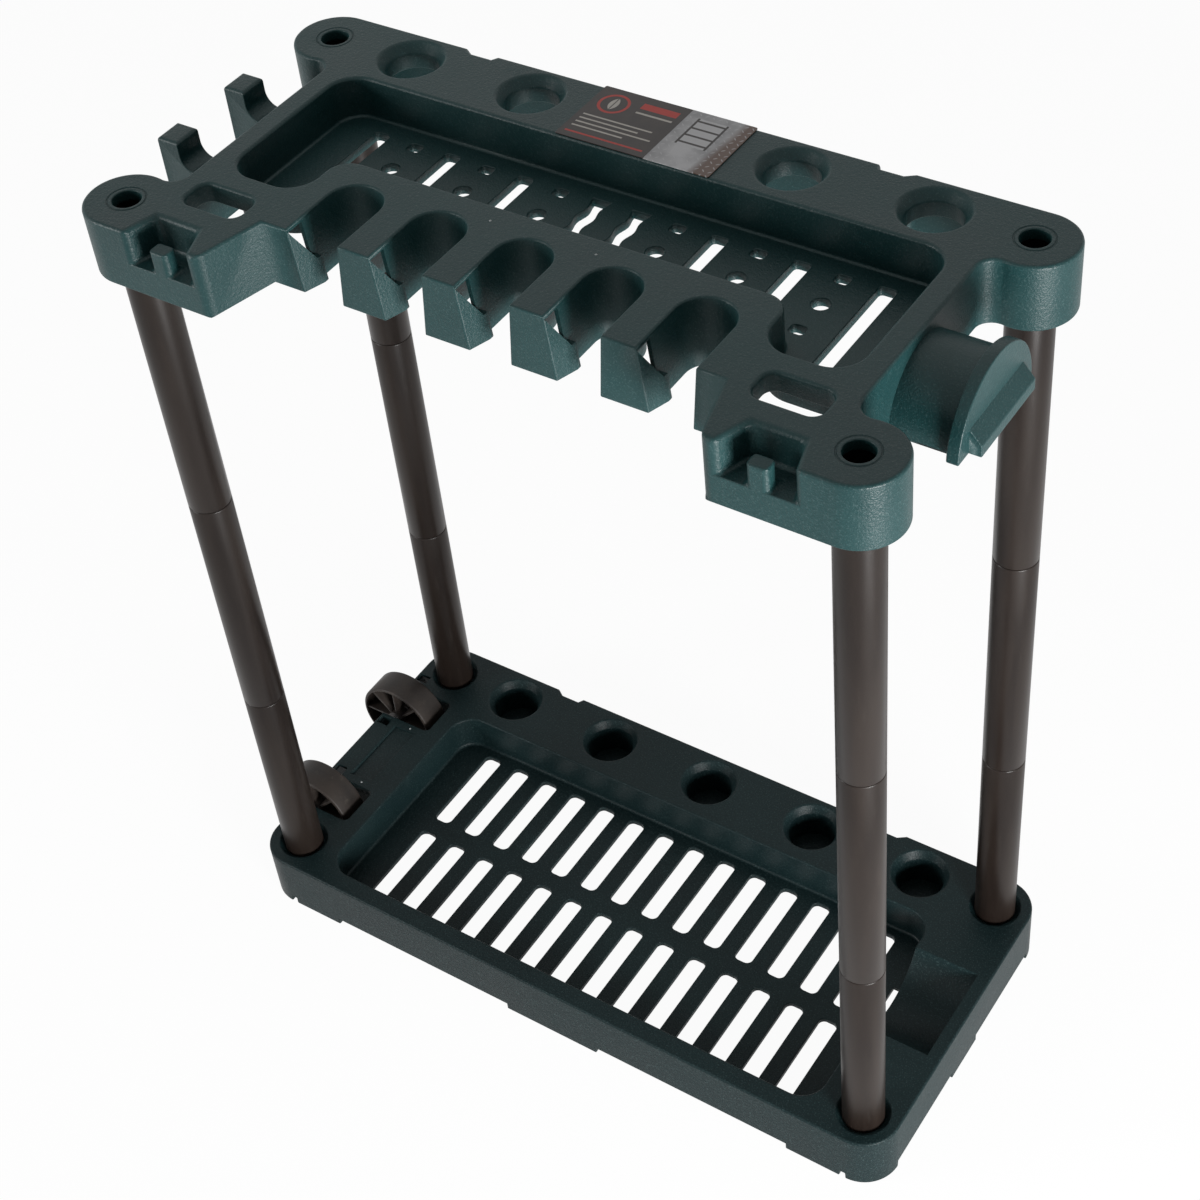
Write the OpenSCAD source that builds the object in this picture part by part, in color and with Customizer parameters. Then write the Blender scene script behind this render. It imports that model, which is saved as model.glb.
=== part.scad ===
/* [Poles] */
// Distance between the pole centres along the rack
pole_span_x = 520; // [516:1:560]
// Distance between the pole centres from front to back
pole_span_y = 213; // [211:1:230]
// Outer radius of a pole tube
tube_r = 15.6; // [14:0.1:16.4]
// Wall thickness of a pole tube
tube_wall = 1.6; // [1.2:0.1:2]
// Length of one tube, with its spigot
tube_l = 245; // [160:5:300]
// Length of the spigot that plugs into the next tube
spigot_l = 45; // [25:1:60]
// Radial play where tubes and sockets slide together
slide_gap = 0.15; // [0.1:0.05:0.3]
// Height of the poles' feet over the floor
pole_foot_h = 25; // [22:1:30]
// Material over the head of a pole, up to the tray's top face
pole_cover = 8.5; // [6:0.5:12]

/* [Mouldings] */
// Wall thickness of both trays
wall = 3; // [2.4:0.1:3.4]
// Thickness of both trays' slotted floors
floor_t = 4; // [3:0.5:5]
// Radius of the round tray corners about the poles
corner_r = 28.6; // [27.6:0.2:31]

/* [Upper tray] */
// Depth of the upper tray's skirt
top_skirt_h = 46.5; // [43:0.5:50]
// Setback of the end walls from the pole centres
end_setback = 18; // [15:0.5:20]
// Radius of the hollow between an end wall and a round corner
end_fillet_r = 11; // [8:0.5:14]
// Half length of the tool basin
basin_x = 225; // [222:0.5:226]
// Back edge of the tool basin behind the rack's middle line
basin_back_y = 74; // [70:0.5:76]
// Front edge of the tool basin's narrow middle, before the middle line
basin_mid_y = 8; // [6:0.5:10]
// Front edge of the tool basin's deep ends, before the middle line
basin_end_y = 52; // [50:0.5:54]
// Where the deep ends begin, from the rack's middle
basin_end_x = 165; // [163:0.5:168]
// Corner radius of the tool basin
basin_corner_r = 20; // [16:0.5:22]
// Radius of the bend from the narrow middle into a deep end
basin_bend_r = 17; // [14:0.5:19]
// Depth of the tool basin
basin_depth = 30; // [26:0.5:34]
// Depth of the small notches in the back edge of both trays
edge_notch_depth = 4.6; // [3:0.1:5]
// Distance of the edge notches from the rack's middle
edge_notch_x = 154; // [150:0.5:156]
// Width of an edge notch at its bottom
edge_notch_w = 16; // [12:0.5:18]
// Radius of the hole over each pole
pole_hole_r = 9.5; // [7:0.5:11]

/* [Handle holes] */
// Distance between neighbouring handle holes
handle_pitch = 97.5; // [90:0.5:98]
// Radius of the five handle holes in the upper tray
handle_r = 18.25; // [16:0.25:19]
// Radius of the handle sockets in the base tray
socket_r = 19.25; // [17:0.25:20]
// Radius of the funnel mouths of holes and sockets
mouth_r = 23.5; // [21:0.5:24.5]
// Depth of the funnel mouths
mouth_depth = 7; // [5:0.5:9]
// Depth of the collars under the handle holes
collar_depth = 18; // [14:0.5:24]
// Depth of the handle sockets
socket_depth = 32; // [28:0.5:36]

/* [Finger row] */
// Distance between neighbouring notches
notch_pitch = 63.5; // [63:0.1:64]
// Radius of a notch at the top face
notch_top_r = 19.75; // [18:0.25:20]
// Radius of a notch at the bottom of the skirt
notch_bottom_r = 15; // [13.5:0.25:16]
// Distance of the notches' round ends before the middle line
notch_y = 46; // [45:0.5:50]
// Distance of the finger tips before the middle line
tip_y = 87; // [85:0.5:89]
// How far the lip at the mouth of a notch stands out
lip_out = 5; // [3:0.25:6]
// Length of the lip from the finger tip
lip_run = 15; // [12:0.5:17]
// Depth of the lip's low end under the top face
lip_drop = 28; // [24:0.5:32]

/* [Front blocks] */
// Inner edge of a block at the finger tips' line
shoulder_x = 166; // [162:0.5:170]
// Inner edge of a block at its front face
block_x = 178; // [175:0.5:185]
// Middle of the oblong slot along the rack
slot_x = 205.5; // [203:0.5:206]
// Middle of the oblong slot before the middle line
slot_y = 81; // [80:0.5:82]
// Length of the oblong slot
slot_l = 45; // [36:0.5:46]
// Width of the oblong slot
slot_w = 24; // [18:0.5:24]
// Corner radius of the oblong slot
slot_corner_r = 8; // [5:0.5:9]
// Depth of the collar under the oblong slot
slot_collar = 14; // [10:0.5:18]
// Depth of the hook pocket
pocket_depth = 25; // [18:0.5:28]
// Length of the hook pocket from front to back
pocket_run = 23.5; // [22:0.5:26]
// Middle of the pocket's tab along the rack
tab_x = 213; // [205:0.5:215]
// Width of the pocket's tab
tab_w = 14; // [12:0.5:15]
// Thickness of the pocket's tab from front to back
tab_t = 11; // [8:0.5:12]
// Drop from the top face to the top of the tab
tab_drop = 8.5; // [4:0.5:11]

/* [End fittings] */
// Reach of the left hooks from the end wall
hook_reach = 48; // [42:0.5:50]
// Thickness of a hook's upright post
post_t = 17.5; // [14:0.5:19]
// Width of a hook
hook_w = 21; // [16:0.5:24]
// Distance of the hooks from the middle line
hook_y = 33.5; // [30:0.5:36]
// Depth of the cradle between post and end wall
cradle_depth = 20; // [15:0.5:24]
// Radius in the corners of the cradle
cradle_r = 10; // [7:0.5:11]
// Radius of the hose saddle's drum
drum_r = 40; // [34:0.5:41]
// Length of the hose saddle's drum
drum_l = 39; // [32:0.5:44]
// Thickness of the hose saddle's flange
flange_t = 8; // [5:0.5:10]
// How far the block stands out from the flange
flange_block_t = 8; // [5:0.5:10]
// Half width of the block on the flange
flange_block_y = 34; // [28:0.5:35]

/* [Base tray] */
// Height of the base tray's top face over the floor
base_h = 50; // [47:0.5:54]
// Height of the feet under the skirt
foot_h = 6; // [4:0.5:8]
// Back edge of the grille basin behind the middle line
grille_back_y = 71; // [70:0.5:73]
// Front edge of the grille basin before the middle line
grille_front_y = 119; // [117:0.5:121]
// Depth of the grille basin
grille_depth = 31; // [29:0.5:33]
// Number of slots in a row of the grille
grille_slots = 14; // [10:1:14]
// Distance between neighbouring grille slots
grille_pitch = 29.3; // [28:0.1:29.5]
// Width of a grille slot
grille_slot_w = 15; // [10:0.5:16]
// Length of a grille slot
grille_slot_l = 79; // [70:0.5:80]
// Corner radius of a grille slot
grille_slot_r = 5; // [3:0.5:5]
// Half width of the trough in the right end
trough_y = 41.5; // [36:0.5:42]
// Length of the trough along the rack
trough_l = 53; // [45:0.5:54]
// Depth of the trough's arc
trough_sag = 26; // [20:0.5:27]

/* [Wheels and card] */
// Radius of a wheel
wheel_r = 35; // [32:0.5:35.5]
// Width of a wheel
wheel_w = 25; // [20:0.5:27]
// Distance of the wheels' middles from the middle line
wheel_y = 58; // [57:0.5:59]
// Setback of the axle from the base tray's left edge
axle_setback = 7.6; // [7.4:0.1:9]
// Height of the axle over the floor
axle_h = 36.5; // [36.4:0.1:38]
// Radius of an axle pin
axle_r = 4; // [3:0.1:4]
// Radial play of the wheel on its axle pin
axle_gap = 0.05; // [0.03:0.01:0.1]
// Number of ribs on each face of a wheel
wheel_ribs = 8; // [6:1:10]
// Half length of the card on the back rail
card_x = 57; // [50:0.5:60]
// Thickness of the card
card_t = 0.8; // [0.6:0.1:1.2]

/* [Hidden] */
$fn = 96;

// How far cutting shapes run past the faces they cut
over = 1;
// Size that reaches past the whole rack in every direction
beyond = 2 * pole_span_x;

// Plan of the poles and of both trays
pole_x = pole_span_x / 2;
pole_y = pole_span_y / 2;
back_y = pole_y + corner_r;
tray_x = pole_x + corner_r;
end_x = pole_x - end_setback;

// Places along the rack keep to the poles: they are given for this span and move with it
given_span = 520;
floor_slot_pitch = 58;
floor_slot_x = 73;
hole_x = 44;
wavy_x = 15;
pocket_back_in_x = 196.5;
pocket_back_out_x = 230.5;
pocket_front_in_x = 187.5;
pocket_front_out_x = 237.5;
foot_mid_x = 42;
foot_in_x = 210;
foot_out_x = 255;
along = pole_span_x / given_span;
basin_side_x = along * basin_x;
deep_end_x = along * basin_end_x;
side_notch_x = along * edge_notch_x;
handle_step = along * handle_pitch;
notch_step = along * notch_pitch;
block_tip_x = along * shoulder_x;
block_front_x = along * block_x;
slot_mid_x = along * slot_x;
tab_mid_x = along * tab_x;
grille_step = along * grille_pitch;
trough_run = along * trough_l;

// Poles: three tubes stacked from the base tray's cups to the upper tray's caps
stack_step = tube_l - spigot_l;
pole_head_h = pole_foot_h + 2 * stack_step + tube_l;
rack_h = pole_head_h + pole_cover;
socket_bore_r = tube_r + slide_gap;
socket_outer_r = socket_bore_r + wall;
tube_bore_r = tube_r - tube_wall;
spigot_r = tube_bore_r - slide_gap;
spigot_bore_r = spigot_r - tube_wall;
tube_edge_share = 0.4;
tube_edge = tube_edge_share * tube_wall;
corner_names = ["front_left", "front_right", "back_left", "back_right"];
corner_signs = [[-1, -1], [1, -1], [-1, 1], [1, 1]];
level_names = ["lower", "middle", "upper"];
cup_depth = base_h - pole_foot_h;
cup_mouth_share = 1.4;
cup_mouth_depth = cup_mouth_share * wall;
cup_mouth_r = socket_bore_r + cup_mouth_depth;
ring_groove_r = 13;
ring_groove_w = 1;
ring_groove_depth = 0.5;

// Section planes that part the trays face to face
top_rail_y = basin_back_y + wall;
top_rail_x = basin_side_x + wall;
block_y = basin_end_y + wall;
fitting_y = pole_y / 2 + corner_r / 4;
base_rail_y = grille_back_y + wall;
corner_part_x = (along * pocket_front_out_x + wall + pole_x - socket_outer_r) / 2;
slot_part_x = (slot_mid_x + slot_l / 2 + end_x) / 2;
pocket_part_y = (back_y - pocket_run + slot_y + slot_w / 2) / 2;

// Slant of a front block's inner edge, and what it does to an inset outline
block_slant = atan2(block_front_x - block_tip_x, back_y - tip_y);
slant_share = (1 - sin(block_slant)) / cos(block_slant);

// Edge notches: outer and inner slopes in plan
edge_notch_long_share = 0.5;
edge_notch_short_share = 0.2;
edge_notch_long = edge_notch_long_share * edge_notch_w;
edge_notch_short = edge_notch_short_share * edge_notch_w;

// Notches widen from the bottom of the skirt to the top face
notch_count = 5;
notch_flare = (notch_top_r - notch_bottom_r) / top_skirt_h;
flare_angle = atan(notch_flare);

// Lips: start and run of the falling edge, and the strip of wall left over it
lip_start = wall / 2;
lip_rim = wall / 4;
lip_fall_run = lip_run - lip_rim;

// Floor openings of the tool basin
floor_slot_w = 12;
floor_slot_r = 3;
floor_slot_step = along * floor_slot_pitch;
floor_slot_start = along * floor_slot_x;
floor_back_y = 61;
floor_mid_y = 0;
floor_deep_y = -40;
wavy_start = along * wavy_x;
wavy_w = 11;
wavy_depth = 2;
wavy_waves = 3;
wavy_steps = 24;
hole_start = along * hole_x;
hole_back_y = 56.5;
hole_round_y = 30;
hole_front_y = 2.5;
hole_round_r = 6;
hole_l = 10;
hole_w = 8;
hole_corner_r = 2.5;

// The side bays part from the centre beside their first openings
bay_clearance = 1.25;
bay_x = hole_start + 2 * floor_slot_step - hole_round_r - bay_clearance;

// Hook pocket: inner and outer edges at its back and at its front
pocket_back_in = along * pocket_back_in_x;
pocket_back_out = along * pocket_back_out_x;
pocket_front_in = along * pocket_front_in_x;
pocket_front_out = along * pocket_front_out_x;

// Hose saddle: the flange is as high as the skirt is deep
flange_r = top_skirt_h;
drum_end_x = end_x + drum_l;
flange_end_x = drum_end_x + flange_t;
block_top_share = 0.62;
block_low_share = 0.82;

// Base tray
base_skirt_h = base_h - foot_h;
foot_t = 2 * wall;
foot_mid = along * foot_mid_x;
foot_side_in = along * foot_in_x;
foot_side_out = along * foot_out_x;
foot_end = 20;
grille_mid_y = (grille_back_y - grille_front_y) / 2;
grille_row_y = grille_slot_l / 2 + grille_slot_w / 2;
trough_r = (trough_y * trough_y + trough_sag * trough_sag) / (2 * trough_sag);
trough_rise = trough_r - trough_sag;
slit_w = 6;
slit_y = 20;

// Wheel bays at the left end of the base tray
axle_x = tray_x - axle_setback;
bay_gap_in = 7;
bay_gap_out = 4.5;
bay_gap_back = 5.5;
bay_back_x = axle_x - wheel_r - bay_gap_back;
bay_corner_r = 5;
bay_in_y = wheel_y - wheel_w / 2 - bay_gap_in;
bay_out_y = wheel_y + wheel_w / 2 + bay_gap_out;
clip_w = 10.5;
clip_in_l = 8;
clip_post_t = 9;
clip_out_l = 8;
clip_drop = axle_h / 2;
pin_play = 0.1;
pin_in_y = bay_in_y - wall / 2 - clip_in_l;
pin_out_y = bay_out_y + clip_post_t + wall;
recess_in_setback = 19.6;
recess_out_setback = 39.1;
recess_in_x = tray_x - recess_in_setback;
recess_out_x = tray_x - recess_out_setback;
recess_y = 31;
recess_deep = 2;
recess_shallow = 0.4;
rim_t = 2.6;
web_t = 2.2;
hub_r = 8.5;
rib_t = 1.8;
tread_edge = 1.2;
rib_inset = 1.5;

// The origin lies on the floor under the middle of the overall length
left_reach = axle_x + wheel_r;
right_reach = flange_end_x + flange_block_t;
mid_x = (right_reach - left_reach) / 2;

// Card on the rail
card_setback = 0.5;
card_front_y = basin_back_y + card_setback;
card_back_y = back_y;

// Colours
top_green = [0.24, 0.33, 0.32];
base_green = [0.15, 0.24, 0.24];
pole_brown = [0.22, 0.19, 0.17];
wheel_black = [0.13, 0.12, 0.11];
pin_grey = [0.3, 0.3, 0.3];
card_brown = [0.25, 0.2, 0.18];

// Places a shape of the rack's plan in the part's own frame, at a height
module at_height(height) {
    translate([-mid_x, 0, height]) children();
}

// Draws its children and their mirror image at the other end of the rack
module both_ends() {
    children();
    mirror([1, 0, 0]) children();
}

// Rectangle with rounded corners between two corner points
module rounded(low, high, radius) {
    translate([low.x + radius, low.y])
        square([high.x - low.x - 2 * radius, high.y - low.y]);
    translate([low.x, low.y + radius])
        square([high.x - low.x, high.y - low.y - 2 * radius]);
    for (x = [low.x + radius, high.x - radius], y = [low.y + radius, high.y - radius])
        translate([x, y]) circle(r = radius);
}

// Box between two corner points
module block(low, high) {
    translate(low) cube(high - low);
}

// Small notches in the back edge of both trays, grown sideways and inwards
module edge_notches(grow) {
    floor_y = back_y - edge_notch_depth - grow;
    half_w = edge_notch_w / 2 + grow;
    both_ends() translate([side_notch_x, 0]) polygon([
        [-half_w, floor_y], [half_w, floor_y],
        [half_w + edge_notch_long, back_y + over], [-half_w - edge_notch_short, back_y + over]
    ]);
}

// Web between the end wall and a round corner, hollowed by a tangent circle
module end_web(inset) {
    reach = corner_r + end_fillet_r;
    side = end_fillet_r - end_setback;
    run = sqrt(reach * reach - side * side);
    share = corner_r / reach;
    difference() {
        polygon([
            [end_x - wall - inset, pole_y - run], [end_x + end_fillet_r, pole_y - run],
            [pole_x + side * share, pole_y - run * share], [pole_x, pole_y],
            [end_x - wall - inset, pole_y]
        ]);
        translate([end_x + end_fillet_r, pole_y - run]) circle(r = end_fillet_r + inset);
    }
}

// Plan of the upper tray without its notches, drawn in by an inset
module top_outline(inset) {
    edge = back_y - inset;
    shift = slant_share * inset;
    difference() {
        both_ends() {
            for (side = [-1, 1]) {
                translate([pole_x, side * pole_y]) circle(r = corner_r - inset);
                scale([1, side]) end_web(inset);
            }
            polygon([
                [-over, inset - tip_y], [-over, edge], [pole_x, edge], [pole_x, pole_y],
                [end_x - inset, pole_y], [end_x - inset, -pole_y], [pole_x, -pole_y],
                [pole_x, -edge], [block_front_x + shift, -edge], [block_tip_x + shift, inset - tip_y]
            ]);
        }
        edge_notches(inset);
    }
}

// One flared notch of the finger row, open to the front, grown by a wall
module notch(grow) {
    low_r = notch_bottom_r + grow - notch_flare * over;
    high_r = notch_top_r + grow + notch_flare * over;
    low_z = -top_skirt_h - over;
    translate([0, -notch_y, low_z])
        cylinder(h = top_skirt_h + 2 * over, r1 = low_r, r2 = high_r);
    translate([0, -notch_y, 0]) rotate([90, 0, 0])
        linear_extrude(height = tip_y - notch_y + over)
            polygon([[-low_r, low_z], [low_r, low_z], [high_r, over], [-high_r, over]]);
}

module notch_row(grow) {
    for (i = [0 : notch_count - 1])
        translate([(i - (notch_count - 1) / 2) * notch_step, 0, 0]) notch(grow);
}

// Lip at the mouth of a notch: a wedge in plan under a falling edge
module notch_lip() {
    intersection() {
        rotate([0, -flare_angle, 0]) translate([0, 0, -top_skirt_h - notch_top_r])
            linear_extrude(height = top_skirt_h + 2 * notch_top_r)
                polygon([
                    [-wall, 0], [0, 0], [lip_out, lip_run],
                    [lip_out, lip_run + wall], [-wall, lip_run + wall]
                ]);
        rotate([90, 0, 90]) translate([0, 0, -notch_top_r])
            linear_extrude(height = 3 * notch_top_r)
                polygon([
                    [0, -lip_start], [lip_fall_run, -lip_drop], [lip_run + wall, -lip_drop],
                    [lip_run + wall, -top_skirt_h], [0, -top_skirt_h]
                ]);
    }
}

// Three-cornered window through the finger wall over the lip's falling edge
module notch_window() {
    start_y = lip_fall_run * (wall - lip_start + lip_rim) / (lip_drop - lip_start);
    rotate([90, 0, 90]) translate([0, 0, -wall - over])
        linear_extrude(height = wall + lip_out + over)
            polygon([[start_y, -wall], [lip_fall_run, -wall], [lip_fall_run, lip_rim - lip_drop]]);
}

module at_lips() {
    for (i = [0 : notch_count - 1])
        translate([(i - (notch_count - 1) / 2) * notch_step - notch_top_r, -tip_y, 0]) children();
}

// Plan of the tool basin, grown by a wall
module basin_plan(grow) {
    rounded([-basin_side_x - grow, -basin_mid_y - grow], [basin_side_x + grow, basin_back_y + grow],
        basin_corner_r + grow);
    both_ends() {
        rounded([deep_end_x - grow, -basin_end_y - grow], [basin_side_x + grow, basin_back_y + grow],
            basin_corner_r + grow);
        difference() {
            translate([deep_end_x - basin_bend_r, -basin_mid_y - basin_bend_r])
                square([basin_bend_r, basin_bend_r]);
            translate([deep_end_x - basin_bend_r, -basin_mid_y - basin_bend_r])
                circle(r = basin_bend_r - grow);
        }
    }
}

// Slot whose long sides wave in and out
module wavy_slot() {
    run = floor_back_y - floor_mid_y;
    side = [for (i = [0 : wavy_steps])
        [(wavy_w + wavy_depth * cos(360 * wavy_waves * i / wavy_steps)) / 2, run * i / wavy_steps]];
    far_side = [for (i = [wavy_steps : -1 : 0]) [-side[i].x, side[i].y]];
    translate([wavy_start, floor_mid_y]) polygon(concat(side, far_side));
}

// Openings in the tool basin's floor
module basin_floor_cuts() {
    both_ends() {
        for (i = [0 : 2]) {
            x = floor_slot_start + i * floor_slot_step;
            front_y = i == 2 ? floor_deep_y : floor_mid_y;
            rounded([x - floor_slot_w / 2, front_y], [x + floor_slot_w / 2, floor_back_y],
                floor_slot_r);
            translate([hole_start + i * floor_slot_step, hole_round_y]) circle(r = hole_round_r);
            for (y = [hole_back_y, hole_front_y])
                translate([hole_start + i * floor_slot_step, y])
                    rounded([-hole_l / 2, -hole_w / 2], [hole_l / 2, hole_w / 2], hole_corner_r);
        }
        wavy_slot();
    }
}

// Plan of a hook pocket, open to the front, grown by a wall
module pocket_plan(grow) {
    polygon([
        [pocket_front_in - grow, -back_y - over], [pocket_back_in - grow, grow + pocket_run - back_y],
        [pocket_back_out + grow, grow + pocket_run - back_y], [pocket_front_out + grow, -back_y - over]
    ]);
}

module pocket_tab() {
    block([tab_mid_x - tab_w / 2, -back_y, -pocket_depth - over],
        [tab_mid_x + tab_w / 2, tab_t - back_y, -tab_drop]);
}

module oblong_plan(grow) {
    rounded([slot_mid_x - slot_l / 2 - grow, -slot_y - slot_w / 2 - grow],
        [slot_mid_x + slot_l / 2 + grow, slot_w / 2 + grow - slot_y], slot_corner_r + grow);
}

// Funnel mouth over a round bore, both going down from the top face
module funnel(bore_r, rim_r, rim_depth, depth) {
    translate([0, 0, -depth]) cylinder(h = depth + over, r = bore_r);
    translate([0, 0, -rim_depth]) cylinder(h = rim_depth, r1 = bore_r, r2 = rim_r);
    cylinder(h = over, r = rim_r);
}

module at_handles() {
    for (i = [-2 : 2]) translate([i * handle_step, pole_y, 0]) children();
}

module at_poles() {
    for (sign = corner_signs) translate([sign.x * pole_x, sign.y * pole_y, 0]) children();
}

// Side view of a left hook: a post and a round-cornered cradle, drawn in by an inset
module hook_profile(inset) {
    difference() {
        translate([-end_x - hook_reach + inset, -top_skirt_h - inset])
            square([hook_reach + wall - 2 * inset, top_skirt_h]);
        rounded([-end_x - hook_reach + post_t - inset, -cradle_depth - inset],
            [inset - end_x, cradle_depth], cradle_r + inset);
        translate([inset - end_x - over, -cradle_depth + cradle_r])
            square([wall + 2 * over, cradle_depth]);
    }
}

module side_hook() {
    difference() {
        translate([0, hook_w / 2, 0]) rotate([90, 0, 0])
            linear_extrude(height = hook_w) hook_profile(0);
        translate([0, hook_w / 2 - wall, 0]) rotate([90, 0, 0])
            linear_extrude(height = hook_w - 2 * wall) hook_profile(wall);
    }
}

// Upper half of a disc or drum that lies along the rack at the skirt's bottom
module half_drum(from_x, to_x, radius) {
    intersection() {
        translate([from_x, 0, -top_skirt_h]) rotate([0, 90, 0])
            cylinder(h = to_x - from_x, r = radius);
        block([from_x - over, -radius - over, -top_skirt_h], [to_x + over, radius + over, radius]);
    }
}

module hose_saddle_shape() {
    difference() {
        union() {
            half_drum(end_x - wall / 2, drum_end_x + over, drum_r);
            half_drum(drum_end_x, flange_end_x, flange_r);
            translate([0, flange_block_y, 0]) rotate([90, 0, 0])
                linear_extrude(height = 2 * flange_block_y)
                    polygon([
                        [drum_end_x + over, -block_top_share * top_skirt_h],
                        [flange_end_x, -block_top_share * top_skirt_h],
                        [right_reach, -block_low_share * top_skirt_h],
                        [right_reach, -top_skirt_h], [drum_end_x + over, -top_skirt_h]
                    ]);
        }
        translate([end_x, 0, -top_skirt_h]) rotate([0, 90, 0])
            cylinder(h = flange_end_x - end_x - wall, r = drum_r - wall);
    }
}

// Shallow ring round the hole over a pole
module ring_groove() {
    translate([0, 0, -ring_groove_depth]) difference() {
        cylinder(h = ring_groove_depth + over, r = ring_groove_r);
        translate([0, 0, -over])
            cylinder(h = ring_groove_depth + 3 * over, r = ring_groove_r - ring_groove_w);
    }
}

// The upper tray as one moulding, its top face at height zero
module top_tray() {
    difference() {
        union() {
            difference() {
                translate([0, 0, -top_skirt_h]) linear_extrude(height = top_skirt_h) top_outline(0);
                notch_row(0);
                difference() {
                    translate([0, 0, -top_skirt_h - over])
                        linear_extrude(height = top_skirt_h + over - wall) top_outline(wall);
                    notch_row(wall);
                    translate([0, 0, -basin_depth - floor_t])
                        linear_extrude(height = basin_depth + floor_t) basin_plan(wall);
                    both_ends() {
                        translate([0, 0, -pocket_depth - wall])
                            linear_extrude(height = pocket_depth + wall) pocket_plan(wall);
                        translate([0, 0, -slot_collar])
                            linear_extrude(height = slot_collar) oblong_plan(wall);
                    }
                    at_handles() {
                        translate([0, 0, -collar_depth]) cylinder(h = collar_depth, r = handle_r + wall);
                        translate([0, 0, -mouth_depth - wall])
                            cylinder(h = mouth_depth, r1 = handle_r + wall, r2 = mouth_r + wall);
                    }
                    at_poles() translate([0, 0, -top_skirt_h - over])
                        cylinder(h = top_skirt_h + over, r = socket_outer_r);
                }
            }
            at_lips() notch_lip();
            for (y = [-hook_y, hook_y]) translate([0, y, 0]) side_hook();
            hose_saddle_shape();
        }
        at_lips() notch_window();
        translate([0, 0, -basin_depth]) linear_extrude(height = basin_depth + over) basin_plan(0);
        translate([0, 0, -basin_depth - floor_t - over])
            linear_extrude(height = floor_t + 2 * over) basin_floor_cuts();
        both_ends() {
            difference() {
                translate([0, 0, -pocket_depth])
                    linear_extrude(height = pocket_depth + over) pocket_plan(0);
                pocket_tab();
            }
            translate([0, 0, -top_skirt_h]) linear_extrude(height = top_skirt_h + over) oblong_plan(0);
        }
        at_handles() funnel(handle_r, mouth_r, mouth_depth, top_skirt_h);
        at_poles() {
            translate([0, 0, -top_skirt_h - over])
                cylinder(h = top_skirt_h + over - pole_cover, r = socket_bore_r);
            translate([0, 0, -top_skirt_h]) cylinder(h = top_skirt_h + over, r = pole_hole_r);
            ring_groove();
        }
    }
}

// One section of the upper tray, between two plan corner points
module top_section(low, high) {
    color(top_green) at_height(rack_h) intersection() {
        top_tray();
        block([low.x, low.y, -beyond], [high.x, high.y, beyond]);
    }
}

module top_handle_rail() {
    top_section([-top_rail_x, top_rail_y], [top_rail_x, beyond]);
}

module top_centre_bay() {
    top_section([-bay_x, -beyond], [bay_x, top_rail_y]);
}

module top_left_bay() {
    top_section([-end_x, -block_y], [-bay_x, top_rail_y]);
}

module top_right_bay() {
    top_section([bay_x, -block_y], [end_x, top_rail_y]);
}

module top_left_back_corner() {
    color(top_green) at_height(rack_h) intersection() {
        top_tray();
        union() {
            block([-beyond, top_rail_y, -beyond], [-top_rail_x, beyond, beyond]);
            block([-beyond, fitting_y, -beyond], [-end_x, beyond, beyond]);
        }
    }
}

module top_right_back_corner() {
    color(top_green) at_height(rack_h) intersection() {
        top_tray();
        union() {
            block([top_rail_x, top_rail_y, -beyond], [beyond, beyond, beyond]);
            block([end_x, fitting_y, -beyond], [beyond, beyond, beyond]);
        }
    }
}

// Room of the right front corner, with its socket and the end wall's front end
module corner_room() {
    block([corner_part_x, -beyond, -beyond], [beyond, -pocket_part_y, beyond]);
    block([slot_part_x, -pocket_part_y, -beyond], [beyond, -fitting_y, beyond]);
    block([slot_part_x, -fitting_y, -beyond], [end_x, -block_y, beyond]);
}

module top_left_front_corner() {
    color(top_green) at_height(rack_h) intersection() {
        top_tray();
        mirror([1, 0, 0]) corner_room();
    }
}

module top_right_front_corner() {
    color(top_green) at_height(rack_h) intersection() {
        top_tray();
        corner_room();
    }
}

module top_left_pocket_block() {
    top_section([-corner_part_x, -beyond], [-bay_x, -pocket_part_y]);
}

module top_right_pocket_block() {
    top_section([bay_x, -beyond], [corner_part_x, -pocket_part_y]);
}

module top_left_slot_block() {
    top_section([-slot_part_x, -pocket_part_y], [-bay_x, -block_y]);
}

module top_right_slot_block() {
    top_section([bay_x, -pocket_part_y], [slot_part_x, -block_y]);
}

module top_side_hooks() {
    top_section([-beyond, -fitting_y], [-end_x, fitting_y]);
}

module top_hose_saddle() {
    top_section([end_x, -fitting_y], [beyond, fitting_y]);
}

// Plan of the base tray, drawn in by an inset
module base_outline(inset) {
    difference() {
        rounded([inset - tray_x, inset - back_y], [tray_x - inset, back_y - inset], corner_r - inset);
        edge_notches(inset);
    }
}

// Plan of the two wheel bays, open to the left end, grown by a wall
module wheel_bays(grow) {
    for (side = [-1, 1]) scale([1, side])
        rounded([-beyond, bay_in_y - grow], [grow - bay_back_x, bay_out_y + grow], bay_corner_r + grow);
}

// Stretches of the base tray's rim that stand on the floor
module foot_zones() {
    both_ends() {
        for (side = [-1, 1]) scale([1, side]) {
            translate([pole_x, pole_y]) square([2 * corner_r, 2 * corner_r]);
            translate([foot_side_in, pole_y]) square([foot_side_out - foot_side_in, 2 * corner_r]);
            translate([-over, pole_y]) square([foot_mid + over, 2 * corner_r]);
        }
    }
    translate([pole_x, -foot_end]) square([2 * corner_r, 2 * foot_end]);
}

module grille_plan(grow) {
    rounded([-basin_side_x - grow, -grille_front_y - grow], [basin_side_x + grow, grille_back_y + grow],
        basin_corner_r + grow);
}

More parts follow.
